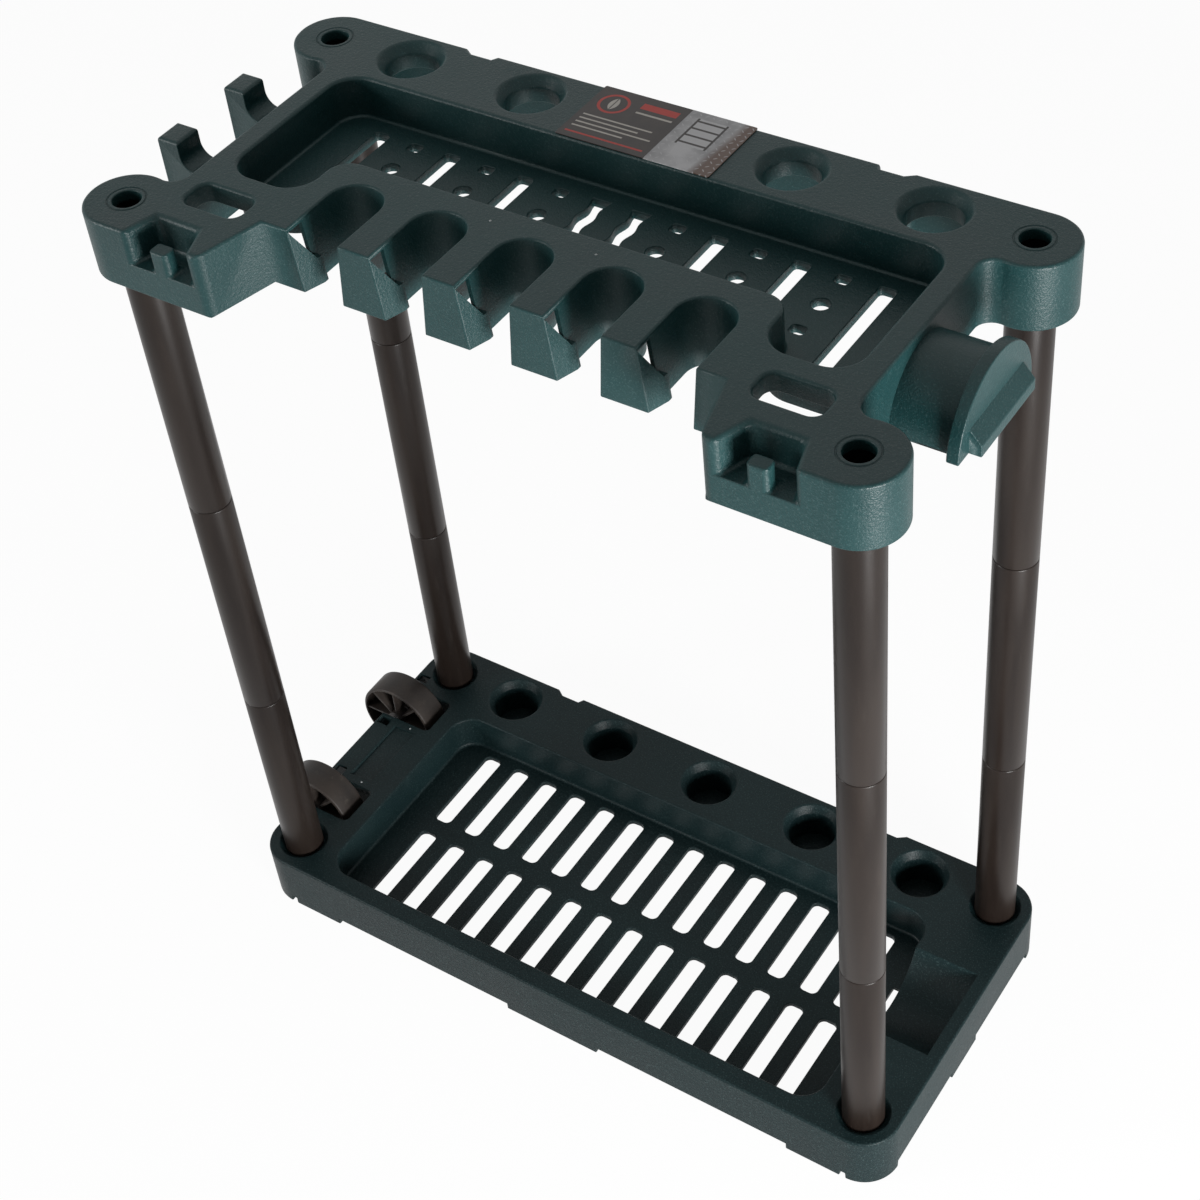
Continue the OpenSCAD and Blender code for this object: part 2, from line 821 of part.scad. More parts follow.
module grille_cuts() {
    for (i = [0 : grille_slots - 1], side = [-1, 1])
        translate([(i - (grille_slots - 1) / 2) * grille_step, grille_mid_y + side * grille_row_y])
            rounded([-grille_slot_w / 2, -grille_slot_l / 2], [grille_slot_w / 2, grille_slot_l / 2],
                grille_slot_r);
    translate([basin_side_x - slit_w - over, -slit_y]) square([slit_w, 2 * slit_y]);
}

// Round-bottomed trough along the rack in the right end, grown by a wall
module trough(grow) {
    translate([basin_side_x - over, 0, trough_rise]) rotate([0, 90, 0])
        cylinder(h = trough_run + grow + over, r = trough_r + grow);
}

// Windows in the top face that show the axle pins' ends
module clip_windows() {
    for (side = [-1, 1]) scale([1, side]) {
        translate([-axle_x - clip_w / 2, bay_in_y - wall - clip_in_l]) square([clip_w, clip_in_l]);
        translate([-axle_x - clip_w / 2, bay_out_y + clip_post_t]) square([clip_w, clip_out_l]);
    }
}

// Posts beside the wheel bays that carry the axle pins
module clip_posts() {
    for (side = [-1, 1]) scale([1, side, 1])
        block([-axle_x - clip_w / 2, bay_out_y, axle_h - clip_drop - base_h],
            [clip_w / 2 - axle_x, bay_out_y + clip_post_t, -over]);
}

// Shallow sloping recess between the wheels
module label_recess(depth, shallow, grow) {
    translate([0, recess_y + grow, 0]) rotate([90, 0, 0])
        linear_extrude(height = 2 * (recess_y + grow))
            polygon([
                [-recess_in_x - grow, over], [-recess_in_x - grow, -depth],
                [grow - recess_out_x, -shallow], [grow - recess_out_x, over]
            ]);
}

// The base tray as one moulding, its top face at height zero
module base_tray() {
    difference() {
        union() {
            difference() {
                translate([0, 0, -base_skirt_h]) linear_extrude(height = base_skirt_h) base_outline(0);
                difference() {
                    translate([0, 0, -base_h])
                        linear_extrude(height = base_h - wall) base_outline(wall);
                    translate([0, 0, -base_h]) linear_extrude(height = base_h) wheel_bays(wall);
                    translate([0, 0, -grille_depth - floor_t])
                        linear_extrude(height = grille_depth + floor_t) grille_plan(wall);
                    trough(wall);
                    clip_posts();
                    label_recess(recess_deep + wall, recess_shallow + wall, wall);
                    at_handles() {
                        translate([0, 0, -socket_depth - wall])
                            cylinder(h = socket_depth + wall, r = socket_r + wall);
                        translate([0, 0, -mouth_depth - wall])
                            cylinder(h = mouth_depth, r1 = socket_r + wall, r2 = mouth_r + wall);
                    }
                    at_poles() translate([0, 0, -cup_depth - wall])
                        cylinder(h = cup_depth + wall, r = socket_outer_r);
                }
            }
            translate([0, 0, -base_h]) linear_extrude(height = foot_h + wall) intersection() {
                difference() {
                    base_outline(0);
                    base_outline(foot_t);
                }
                foot_zones();
            }
        }
        translate([0, 0, -base_h - over]) linear_extrude(height = base_h + 2 * over) wheel_bays(0);
        translate([0, 0, -grille_depth]) linear_extrude(height = grille_depth + over) grille_plan(0);
        translate([0, 0, -grille_depth - floor_t - over])
            linear_extrude(height = floor_t + 2 * over) grille_cuts();
        trough(0);
        label_recess(recess_deep, recess_shallow, 0);
        translate([0, 0, -wall - over]) linear_extrude(height = wall + 2 * over) clip_windows();
        for (side = [-1, 1]) scale([1, side, 1])
            translate([-axle_x, pin_in_y - pin_play, axle_h - base_h]) rotate([-90, 0, 0])
                cylinder(h = pin_out_y - pin_in_y + 2 * pin_play, r = axle_r + pin_play);
        at_handles() funnel(socket_r, mouth_r, mouth_depth, socket_depth);
        at_poles() funnel(socket_bore_r, cup_mouth_r, cup_mouth_depth, cup_depth);
    }
}

// One section of the base tray, between two plan corner points
module base_section(low, high) {
    color(base_green) at_height(base_h) intersection() {
        base_tray();
        block([low.x, low.y, -beyond], [high.x, high.y, beyond]);
    }
}

module base_handle_rail() {
    base_section([-top_rail_x, base_rail_y], [top_rail_x, beyond]);
}

module base_grille() {
    base_section([-top_rail_x, -beyond], [top_rail_x, base_rail_y]);
}

module base_left_end() {
    base_section([-beyond, -beyond], [-top_rail_x, beyond]);
}

module base_right_end() {
    base_section([top_rail_x, -beyond], [beyond, beyond]);
}

// Half section of a tube: the lower two carry a spigot, the uppermost none
module tube_section(level) {
    body_l = level == 2 ? tube_l : stack_step;
    if (level == 2)
        polygon([
            [tube_bore_r, 0], [tube_r - tube_edge, 0], [tube_r, tube_edge],
            [tube_r, body_l], [tube_bore_r, body_l]
        ]);
    else
        polygon([
            [tube_bore_r, 0], [tube_r - tube_edge, 0], [tube_r, tube_edge],
            [tube_r, body_l - tube_edge], [tube_r - tube_edge, body_l],
            [spigot_r, body_l], [spigot_r, tube_l], [spigot_bore_r, tube_l],
            [spigot_bore_r, body_l - 2 * tube_wall], [tube_bore_r, body_l - 4 * tube_wall]
        ]);
}

function tube_name(corner, level) =
    str("tube_", corner_names[corner], "_", level_names[level]);

module pole_tube(corner, level) {
    sign = corner_signs[corner];
    color(pole_brown) at_height(pole_foot_h + level * stack_step)
        translate([sign.x * pole_x, sign.y * pole_y, 0])
            rotate_extrude() tube_section(level);
}

// Wheel with a thin rim, a middle web, a hub and ribs on both faces
module wheel(side) {
    half_w = wheel_w / 2;
    color(wheel_black) at_height(axle_h) translate([-axle_x, side * wheel_y, 0]) rotate([90, 0, 0])
        difference() {
            union() {
                rotate_extrude() polygon([
                    [wheel_r - rim_t, -half_w], [wheel_r - tread_edge, -half_w],
                    [wheel_r, tread_edge - half_w], [wheel_r, half_w - tread_edge],
                    [wheel_r - tread_edge, half_w], [wheel_r - rim_t, half_w]
                ]);
                translate([0, 0, -web_t / 2]) cylinder(h = web_t, r = wheel_r - rim_t / 2);
                translate([0, 0, -half_w]) cylinder(h = wheel_w, r = hub_r);
                for (i = [0 : wheel_ribs - 1]) rotate([0, 0, i * 360 / wheel_ribs])
                    block([hub_r / 2, -rib_t / 2, rib_inset - half_w],
                        [wheel_r - rim_t / 2, rib_t / 2, half_w - rib_inset]);
            }
            translate([0, 0, -half_w - over]) cylinder(h = wheel_w + 2 * over, r = axle_r + axle_gap);
        }
}

module wheel_front() {
    wheel(-1);
}

module wheel_back() {
    wheel(1);
}

module axle_pin(side) {
    color(pin_grey) at_height(axle_h) scale([1, side, 1])
        translate([-axle_x, pin_in_y, 0]) rotate([-90, 0, 0])
            cylinder(h = pin_out_y - pin_in_y, r = axle_r);
}

module axle_pin_front() {
    axle_pin(-1);
}

module axle_pin_back() {
    axle_pin(1);
}

module info_card() {
    color(card_brown) at_height(rack_h)
        block([-card_x, card_front_y, 0], [card_x, card_back_y, card_t]);
}

top_handle_rail();
top_centre_bay();
top_left_bay();
top_right_bay();
top_left_back_corner();
top_right_back_corner();
top_left_front_corner();
top_right_front_corner();
top_left_pocket_block();
top_right_pocket_block();
top_left_slot_block();
top_right_slot_block();
top_side_hooks();
top_hose_saddle();
base_handle_rail();
base_grille();
base_left_end();
base_right_end();
for (corner = [0 : 3], level = [0 : 2])
    pole_tube(corner, level);
wheel_front();
wheel_back();
axle_pin_front();
axle_pin_back();
info_card();
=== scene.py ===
import math

import bmesh
import bpy
import numpy as np
from mathutils import Matrix, Vector


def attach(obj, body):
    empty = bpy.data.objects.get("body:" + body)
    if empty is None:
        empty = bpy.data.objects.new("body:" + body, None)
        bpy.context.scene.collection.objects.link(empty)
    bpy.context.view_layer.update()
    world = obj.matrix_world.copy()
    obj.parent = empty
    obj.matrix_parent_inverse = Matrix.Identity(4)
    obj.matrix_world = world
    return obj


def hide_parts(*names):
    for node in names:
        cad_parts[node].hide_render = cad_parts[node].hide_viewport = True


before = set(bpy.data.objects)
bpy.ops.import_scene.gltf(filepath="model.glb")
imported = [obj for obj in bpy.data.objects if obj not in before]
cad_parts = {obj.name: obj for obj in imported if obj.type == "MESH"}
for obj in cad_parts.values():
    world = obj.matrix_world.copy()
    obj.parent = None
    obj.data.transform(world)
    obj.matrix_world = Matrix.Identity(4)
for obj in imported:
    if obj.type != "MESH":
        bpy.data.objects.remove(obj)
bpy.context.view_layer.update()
scene = bpy.context.scene
print("frame loaded, nodes:", len(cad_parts))


# a node of a material, its sockets filled with values or with other nodes' sockets
def addNode(tree, kind, sockets=None, **settings):
    node = tree.nodes.new(kind)
    for setting, value in settings.items():
        setattr(node, setting, value)
    for socket, value in (sockets or {}).items():
        if isinstance(value, bpy.types.NodeSocket):
            tree.links.new(value, node.inputs[socket])
        else:
            node.inputs[socket].default_value = value
    return node


# a material with one Principled shader, and the object's own coordinates to paint it by
def startMaterial(name):
    material = bpy.data.materials.new(name)
    material.use_nodes = True
    tree = material.node_tree
    tree.nodes.clear()
    shader = tree.nodes.new("ShaderNodeBsdfPrincipled")
    surface = tree.nodes.new("ShaderNodeOutputMaterial")
    tree.links.new(shader.outputs["BSDF"], surface.inputs["Surface"])
    place = tree.nodes.new("ShaderNodeTexCoord").outputs["Object"]
    return material, tree, shader, place


# noise of a scale per metre: detail counts its octaves, and each finer one keeps a share of the
# coarser one's height
def noiseAt(tree, place, scale, detail, roughness=0.5):
    node = addNode(tree, "ShaderNodeTexNoise",
                   {"Vector": place, "Scale": scale, "Detail": detail, "Roughness": roughness})
    return node.outputs["Fac"]


# one step of arithmetic on one or two values
def mathOf(tree, operation, first, second=0.0):
    node = addNode(tree, "ShaderNodeMath", {0: first, 1: second}, operation=operation)
    return node.outputs[0]


# colours mixed by a share: sockets 6 and 7 of the Mix node are its two colours, and
# output 2 is the result
def mixColour(tree, share, first, second):
    node = addNode(tree, "ShaderNodeMix", {0: share, 6: first, 7: second}, data_type="RGBA")
    return node.outputs[2]


# a value between two limits moved onto a new range, held at its ends
def remap(tree, value, fromLow, fromHigh, toLow=0.0, toHigh=1.0):
    node = addNode(tree, "ShaderNodeMapRange",
                   {"Value": value, "From Min": fromLow, "From Max": fromHigh,
                    "To Min": toLow, "To Max": toHigh})
    return node.outputs["Result"]


# injection moulded plastic: a slow drift of colour, painted glints (pale flecks laid on as colour
# where the grain would catch light), a fine two-size grain as bump, and scuffs that dull the gloss
def mouldedPlastic(name, look):
    material, tree, shader, place = startMaterial(name)
    stretched = addNode(tree, "ShaderNodeMapping",
                        {"Vector": place, "Scale": look["stretch"]}).outputs["Vector"]
    drift = remap(tree, noiseAt(tree, stretched, look["driftScale"], look["driftDetail"]),
                  *look["driftSpan"])
    grain = noiseAt(tree, place, look["grainScale"], *look["grainDetail"])
    coarse = noiseAt(tree, place, look["grainScale"] * look["coarseShare"], look["coarseDetail"])
    scuff = remap(tree, noiseAt(tree, stretched, look["scuffScale"], *look["scuffDetail"]),
                  *look["scuffSpan"])
    # painted glints: pale flecks mixed into the colour wherever the grain is high, whatever the
    # light
    paintedGlint = mathOf(tree, "MULTIPLY", remap(tree, grain, *look["paintedGlintSpan"]), look["paintedGlintShare"])
    colour = mixColour(tree, drift, look["deep"], look["pale"])
    colour = mixColour(tree, paintedGlint, colour, look["paintedGlint"])
    worn = mathOf(tree, "MULTIPLY", scuff, look["scuffShare"])
    colour = mixColour(tree, worn, colour, look["scuffed"])
    gloss = mathOf(tree, "ADD", remap(tree, drift, 0, 1, *look["roughness"]),
                   mathOf(tree, "MULTIPLY", scuff, look["scuffDulling"]))
    height = mathOf(tree, "ADD", grain, mathOf(tree, "MULTIPLY", coarse, look["coarseHeight"]))
    bump = addNode(tree, "ShaderNodeBump", {"Strength": look["grainStrength"],
                                            "Distance": look["grainHeight"], "Height": height})
    tree.links.new(colour, shader.inputs["Base Color"])
    tree.links.new(gloss, shader.inputs["Roughness"])
    tree.links.new(bump.outputs["Normal"], shader.inputs["Normal"])
    shader.inputs["Specular IOR Level"].default_value = look["specular"]
    return material


# a mesh becomes a named piece that rides on a body and stands in for CAD nodes
def pieceFrom(mesh, name, material, body, replaced):
    piece = bpy.data.objects.new(name, mesh)
    scene.collection.objects.link(piece)
    mesh.materials.clear()
    mesh.materials.append(material)
    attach(piece, body)
    if replaced:
        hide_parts(*replaced)
    return piece


# rounds a closed outline's corners: at each corner of radius r the sides are left at
# r / tan(half the corner's angle) and an arc about the corner's own centre takes over
def roundedOutline(corners, radii, steps):
    corners = np.asarray(corners, float)
    radii = np.asarray(radii, float)
    back = np.roll(corners, 1, axis=0) - corners
    ahead = np.roll(corners, -1, axis=0) - corners
    back /= np.linalg.norm(back, axis=1)[:, None]
    ahead /= np.linalg.norm(ahead, axis=1)[:, None]
    half = np.arccos(np.clip((back * ahead).sum(1), -1, 1)) / 2
    middle = back + ahead
    middle /= np.linalg.norm(middle, axis=1)[:, None]
    centre = corners + middle * (radii / np.sin(half))[:, None]
    start = corners + back * (radii / np.tan(half))[:, None] - centre
    end = corners + ahead * (radii / np.tan(half))[:, None] - centre
    share = np.linspace(0, 1, steps)[None, :, None]
    sweep = (math.pi - 2 * half)[:, None, None]
    arc = (np.sin((1 - share) * sweep) * start[:, None] + np.sin(share * sweep) * end[:, None])
    return (centre[:, None] + arc / np.sin(sweep)).reshape(-1, 2)


# faces of a grid of rows and columns; the last row or column meets the first where it is closed
def gridFaces(rows, columns, closeRows, closeColumns):
    row = np.arange(rows if closeRows else rows - 1)[:, None]
    column = np.arange(columns if closeColumns else columns - 1)[None, :]
    nextRow = (row + 1) % rows
    nextColumn = (column + 1) % columns
    return np.stack([row * columns + column, row * columns + nextColumn,
                     nextRow * columns + nextColumn, nextRow * columns + column],
                    axis=-1).reshape(-1, 4)


# points and faces as a smoothly shaded mesh
def meshFrom(name, points, faces):
    mesh = bpy.data.meshes.new(name)
    mesh.from_pydata(points.reshape(-1, 3), [], faces)
    mesh.shade_smooth()
    return mesh


# a closed section turned about an axis: radius r and height h at angle a
# stand at r cos a, r sin a across the axis and h along it
def turned(section, turns, frameOf):
    angle = np.linspace(0, 2 * math.pi, turns, endpoint=False)[:, None]
    radius, height = section[:, 0][None], section[:, 1][None]
    across = np.stack([radius * np.cos(angle), radius * np.sin(angle),
                       height + 0 * angle], axis=-1)
    return across @ frameOf[:, :3].T + frameOf[:, 3], gridFaces(turns, len(section), True, True)


# points every joined mesh's faces outwards
def faceOutwards(mesh):
    shell = bmesh.new()
    shell.from_mesh(mesh)
    bmesh.ops.recalc_face_normals(shell, faces=shell.faces)
    shell.to_mesh(mesh)
    shell.free()


# how close points are welded, in metres, and how flat a fold melts away, in degrees
joining = {"weld": 1e-6, "flatFold": 0.4}


# welded copies of the CAD sections are united, and coplanar triangles melt into whole faces
def joinedSections(name, nodeNames):
    others = bpy.data.collections.new(name + "Sections")
    copies = []
    for nodeName in nodeNames:
        shell = bmesh.new()
        shell.from_mesh(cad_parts[nodeName].data)
        bmesh.ops.remove_doubles(shell, verts=shell.verts, dist=joining["weld"])
        section = bpy.data.meshes.new(name)
        shell.to_mesh(section)
        shell.free()
        section.materials.clear()
        copies.append(bpy.data.objects.new(name + "Section", section))
    for copy in copies[1:]:
        others.objects.link(copy)
    scene.collection.objects.link(copies[0])
    union = copies[0].modifiers.new("union", "BOOLEAN")
    union.operation, union.solver = "UNION", "MANIFOLD"
    union.operand_type, union.collection = "COLLECTION", others
    whole = bpy.data.meshes.new_from_object(
        copies[0].evaluated_get(bpy.context.evaluated_depsgraph_get()))
    for copy in copies:
        bpy.data.objects.remove(copy)
    bpy.data.collections.remove(others)
    shell = bmesh.new()
    shell.from_mesh(whole)
    bmesh.ops.dissolve_limit(shell, angle_limit=math.radians(joining["flatFold"]),
                             verts=shell.verts, edges=shell.edges)
    shell.to_mesh(whole)
    shell.free()
    whole.name = name
    return whole


# what the rounding rules read of each edge: its fold is the angle between its two faces'
# normals, positive where it stands out; its rise is its direction's upward share; out, right,
# y and z place its middle from the rack's middle; pole and hole are distances from the nearest one
def edgeFacts(mesh, plan):
    def read(items, field, width, kind):
        values = np.empty(len(items) * width, kind)
        items.foreach_get(field, values)
        return values.reshape(-1, width) if width > 1 else values
    points = read(mesh.vertices, "co", 3, np.float32).astype(float)
    normals = read(mesh.polygons, "normal", 3, np.float32).astype(float)
    start = read(mesh.polygons, "loop_start", 1, np.int32)
    total = read(mesh.polygons, "loop_total", 1, np.int32)
    loopEdge = read(mesh.loops, "edge_index", 1, np.int32)
    loopPoint = read(mesh.loops, "vertex_index", 1, np.int32)
    loopFace = np.repeat(np.arange(len(start)), total)
    uses = np.bincount(loopEdge, minlength=len(mesh.edges))
    order = np.argsort(loopEdge, kind="stable")
    firstOf = np.concatenate([[0], np.cumsum(uses)[:-1]])
    first = order[np.minimum(firstOf, len(order) - 1)]
    second = order[np.minimum(firstOf + 1, len(order) - 1)]
    lastOfFace = start[loopFace[first]] + total[loopFace[first]]
    following = np.where(first + 1 == lastOfFace, start[loopFace[first]], first + 1)
    a, b = points[loopPoint[first]], points[loopPoint[following]]
    length = np.linalg.norm(b - a, axis=1)
    run = (b - a) / np.maximum(length, plan["shortest"])[:, None]
    normalA, normalB = normals[loopFace[first]], normals[loopFace[second]]
    fold = np.arctan2((np.cross(normalA, normalB) * run).sum(1), (normalA * normalB).sum(1))
    right, y, z = ((a + b) / 2 - [plan["middle"], 0, 0]).T
    out, pitch = np.abs(right), plan["holePitch"]
    return {"fold": np.where(uses == 2, fold, 0.0), "length": length, "rise": np.abs(run[:, 2]),
            "right": right, "out": out, "y": y, "away": np.abs(y), "z": z,
            "pole": np.hypot(out - plan["pole"][0], np.abs(y) - plan["pole"][1]),
            "hole": np.hypot((out + pitch / 2) % pitch - pitch / 2, y - plan["pole"][1])}


# each rule gives a width to the edges whose facts all lie between its limits, and later rules
# win; a fold past the crease that no rule rounds is shaded sharp
def roundEdges(piece, rules, plan):
    mesh = piece.data
    facts = edgeFacts(mesh, plan)
    widths = np.zeros(len(mesh.edges))
    for width, limits in rules:
        chosen = np.ones(len(widths), bool)
        for fact, (low, high) in limits.items():
            chosen &= (facts[fact] > low) & (facts[fact] < high)
        widths[chosen] = width
    weights = mesh.attributes.get("bevel_weight_edge")
    weights = weights or mesh.attributes.new("bevel_weight_edge", "FLOAT", "EDGE")
    weights.data.foreach_set("value", (widths / widths.max()).astype(np.float32))
    creases = (np.abs(facts["fold"]) > plan["crease"]) & (widths == 0)
    bevel = piece.modifiers.new("softEdges", "BEVEL")
    bevel.limit_method, bevel.offset_type = "WEIGHT", "OFFSET"
    bevel.width, bevel.segments = float(widths.max()), plan["segments"]
    bevel.use_clamp_overlap, bevel.loop_slide = False, False
    bevel.miter_outer = "MITER_SHARP"
    weighted = piece.modifiers.new("flatFaces", "WEIGHTED_NORMAL")
    weighted.keep_sharp = True
    mesh.shade_smooth()
    sharp = mesh.attributes.get("sharp_edge")
    sharp = sharp or mesh.attributes.new("sharp_edge", "BOOLEAN", "EDGE")
    sharp.data.foreach_set("value", creases)


# plan of the rack that the rounding rules measure from, in metres, with the crease in radians,
# and the two kinds of fold that a rule may ask for
rackPlan = {"middle": 0.0095, "pole": (0.26, 0.1065), "holePitch": 0.0975,
            "crease": 0.30, "segments": 3, "shortest": 1e-9}
standsOut, liesIn = (0.45, 4), (-4, -0.45)
# the upper tray's green; its fleck colour is a painted glint, pale specks standing in for the
# grain catching light
topLook = {
    "deep": (0.005, 0.027, 0.028, 1), "pale": (0.009, 0.036, 0.037, 1),
    "paintedGlint": (0.10, 0.16, 0.16, 1), "scuffed": (0.05, 0.08, 0.08, 1),
    "paintedGlintShare": 0.20, "scuffShare": 0.10, "roughness": (0.38, 0.46), "specular": 0.24,
    "stretch": (1, 1, 1), "driftScale": 9, "scuffScale": 26,
    "grainScale": 900, "grainHeight": 0.00030, "grainStrength": 0.85,
    "driftSpan": (0.35, 0.65), "scuffSpan": (0.6, 0.75), "paintedGlintSpan": (0.56, 0.7),
    "scuffDulling": 0.12, "coarseShare": 0.45, "coarseHeight": 0.8,
    "driftDetail": 3.0, "grainDetail": (2.0, 0.6), "coarseDetail": 1.0, "scuffDetail": (6.0, 0.7),
}
# the base tray: the upper tray's green painted darker, painted shade for the base lying under the
# upper tray
shadedBaseLook = dict(topLook, deep=(0.003, 0.009, 0.010, 1), pale=(0.005, 0.013, 0.014, 1),
                specular=0.13)
topSections = ["top_handle_rail", "top_centre_bay", "top_left_bay", "top_right_bay",
               "top_left_back_corner", "top_right_back_corner", "top_left_front_corner",
               "top_right_front_corner", "top_left_pocket_block", "top_right_pocket_block",
               "top_left_slot_block", "top_right_slot_block", "top_side_hooks", "top_hose_saddle"]
baseSections = ["base_handle_rail", "base_grille", "base_left_end", "base_right_end"]

# the upper tray's edges: width of the rounding, and which edges have it
topFace, topFloor, topFoot = (0.67848, 0.67852), (0.64848, 0.64852), (0.6, 0.6323)
tabTop, pocketFloor, ringFloor = (0.66998, 0.67002), (0.65348, 0.65352), (0.67798, 0.67802)
topRounds = [
    (0.0009, {"fold": standsOut}),
    (0.0014, {"fold": standsOut, "rise": (0.95, 2), "out": (0, 0.2405)}),
    (0.0036, {"fold": standsOut, "rise": (0.95, 2), "out": (0.155, 0.2405), "y": (-1, -0.084)}),
    (0.0060, {"fold": standsOut, "rise": (0.95, 2), "out": (0.176, 0.180), "y": (-1, -0.13)}),
    (0.0012, {"fold": standsOut, "z": topFoot}),
    (0.0008, {"fold": standsOut, "z": topFloor}),
    (0.0024, {"fold": standsOut, "z": topFace}),
    (0.0036, {"fold": standsOut, "z": topFace, "out": (0.180, 0.2395), "y": (-0.137, -0.1095)}),
    (0.0018, {"fold": standsOut, "z": tabTop}),
    (0.0030, {"fold": liesIn, "z": pocketFloor}),
    (0.0050, {"fold": liesIn, "rise": (0.95, 2), "out": (0.19, 0.2335), "y": (-0.113, -0.110)}),
    (0.0014, {"fold": standsOut, "z": topFace, "out": (0, 0.160), "y": (-1, -0.025)}),
    (0.0009, {"fold": standsOut, "z": topFace, "pole": (0, 0.012)}),
    (0.0004, {"fold": standsOut, "z": topFace, "pole": (0.0115, 0.0135)}),
    (0.0004, {"fold": liesIn, "z": ringFloor, "pole": (0.0115, 0.0135)}),
    (0.0014, {"fold": standsOut, "z": topFace, "hole": (0, 0.0245), "out": (0, 0.23)}),
    (0.0022, {"fold": liesIn, "z": topFloor}),
    (0.0, {"z": (0.633, 0.678), "out": (0, 0.151), "y": (-1, -0.0685), "length": (0, 0.05)}),
    (0.0010, {"fold": (1.2, 1.6), "y": (-0.0871, -0.0869), "length": (0.044, 0.05)}),
    (0.0, {"right": (-0.243, -0.2415), "away": (0.02, 0.045), "z": (0.66, 0.6687)}),
]


topTray = pieceFrom(joinedSections("topTray", topSections), "topTray",
                    mouldedPlastic("topTrayGreen", topLook), "rack", topSections)
roundEdges(topTray, topRounds, rackPlan)
print("upper tray joined and rounded:", len(topTray.data.polygons), "faces")

# collars that run down from the basin's openings under its floor
collarShape = {
    "middle": 0.0095, "top": 0.6452, "bottom": 0.6422, "wall": 0.0016, "draft": 0.0001,
    "pitch": 0.058, "slotX": 0.073, "slotHalf": 0.006, "slotRound": 0.003,
    "slotFront": (0.0, 0.0, -0.040), "slotBack": 0.061,
    "holeX": 0.044, "holeY": (0.0025, 0.0565), "holeHalf": (0.005, 0.004), "holeRound": 0.0025,
    "roundY": 0.030, "roundR": 0.006, "roundSteps": 40,
    "wavyX": 0.015, "wavyWidth": 0.011, "wavyDepth": 0.002, "waves": 3, "wavySteps": 25,
    "arcSteps": 6, "leastShare": 0.4,
}


# corner points of an upright rectangle between two corner places
def rectangle(left, front, right, back):
    return [(left, front), (right, front), (right, back), (left, back)]


# outlines of one end's openings, each as a closed loop of points in the rack's plan
def openingOutlines(look):
    outlines = []
    for i, front in enumerate(look["slotFront"]):
        x = look["slotX"] + i * look["pitch"]
        slot = rectangle(x - look["slotHalf"], front, x + look["slotHalf"], look["slotBack"])
        outlines.append(roundedOutline(slot, [look["slotRound"]] * 4, look["arcSteps"]))
        x = look["holeX"] + i * look["pitch"]
        for y in look["holeY"]:
            hole = rectangle(x - look["holeHalf"][0], y - look["holeHalf"][1],
                             x + look["holeHalf"][0], y + look["holeHalf"][1])
            outlines.append(roundedOutline(hole, [look["holeRound"]] * 4, look["arcSteps"]))
        angle = np.linspace(0, 2 * math.pi, look["roundSteps"], endpoint=False)
        outlines.append(np.column_stack([x + look["roundR"] * np.cos(angle),
                                         look["roundY"] + look["roundR"] * np.sin(angle)]))
    share = np.linspace(0, 1, look["wavySteps"])
    wave = look["wavyDepth"] * np.cos(2 * math.pi * look["waves"] * share)
    half = (look["wavyWidth"] + wave) / 2
    right = np.column_stack([look["wavyX"] + half, share * look["slotBack"]])
    left = np.column_stack([look["wavyX"] - half, share * look["slotBack"]])
    return outlines + [np.concatenate([right, left[::-1]])]


# an outline moved outwards: each point goes along the sum of its two sides' normals, as far as
# keeps both sides the given distance away, and no farther than the least share allows
def grownOutline(outline, distance, leastShare):
    ahead = np.roll(outline, -1, axis=0) - outline
    ahead /= np.linalg.norm(ahead, axis=1)[:, None]
    normal = np.column_stack([ahead[:, 1], -ahead[:, 0]])
    before = np.roll(normal, 1, axis=0)
    share = 1 + (normal * before).sum(1)
    return outline + distance * (normal + before) / np.maximum(share, leastShare)[:, None]


# a collar: a tube of four loops, inner ones drawn in by the draft towards the bottom
def collarMesh(look):
    points, faces, count = [], [], 0
    for side in (-1, 1):
        for outline in openingOutlines(look):
            size = len(outline)
            inner = grownOutline(outline, -look["draft"], look["leastShare"])
            outer = grownOutline(outline, look["wall"], look["leastShare"])
            loops = [(outline, look["top"]), (inner, look["bottom"]),
                     (outer, look["bottom"]), (outer, look["top"])]
            ring = [np.column_stack([look["middle"] + side * loop[:, 0], loop[:, 1],
                                     np.full(size, height)]) for loop, height in loops]
            points.append(np.concatenate(ring))
            faces.append(gridFaces(4, size, True, True) + count)
            count += 4 * size
    return meshFrom("collars", np.concatenate(points), np.concatenate(faces).tolist())


collars = collarMesh(collarShape)
faceOutwards(collars)
collars.set_sharp_from_angle(angle=rackPlan["crease"])
pieceFrom(collars, "basinCollars", topTray.data.materials[0], "rack", None)
print("collars set under the basin's openings")

# pale marks that the moulds' gates left on both trays
gateShape = {
    "places": [(-0.029, -0.0227, 0.6785), (0.048, -0.0227, 0.6785),
               (-0.2461, 0.0343, 0.05), (-0.2461, -0.0343, 0.05)],
    "radii": [0.0008, 0.00078, 0.0006, 0.0003], "heights": [-0.0004, 0.00004, 0.00012, 0.00016],
    "turns": 24,
}
gateLook = dict(topLook, deep=(0.42, 0.46, 0.46, 1), pale=(0.60, 0.63, 0.63, 1),
                paintedGlint=(0.7, 0.7, 0.7, 1), scuffed=(0.3, 0.3, 0.3, 1))


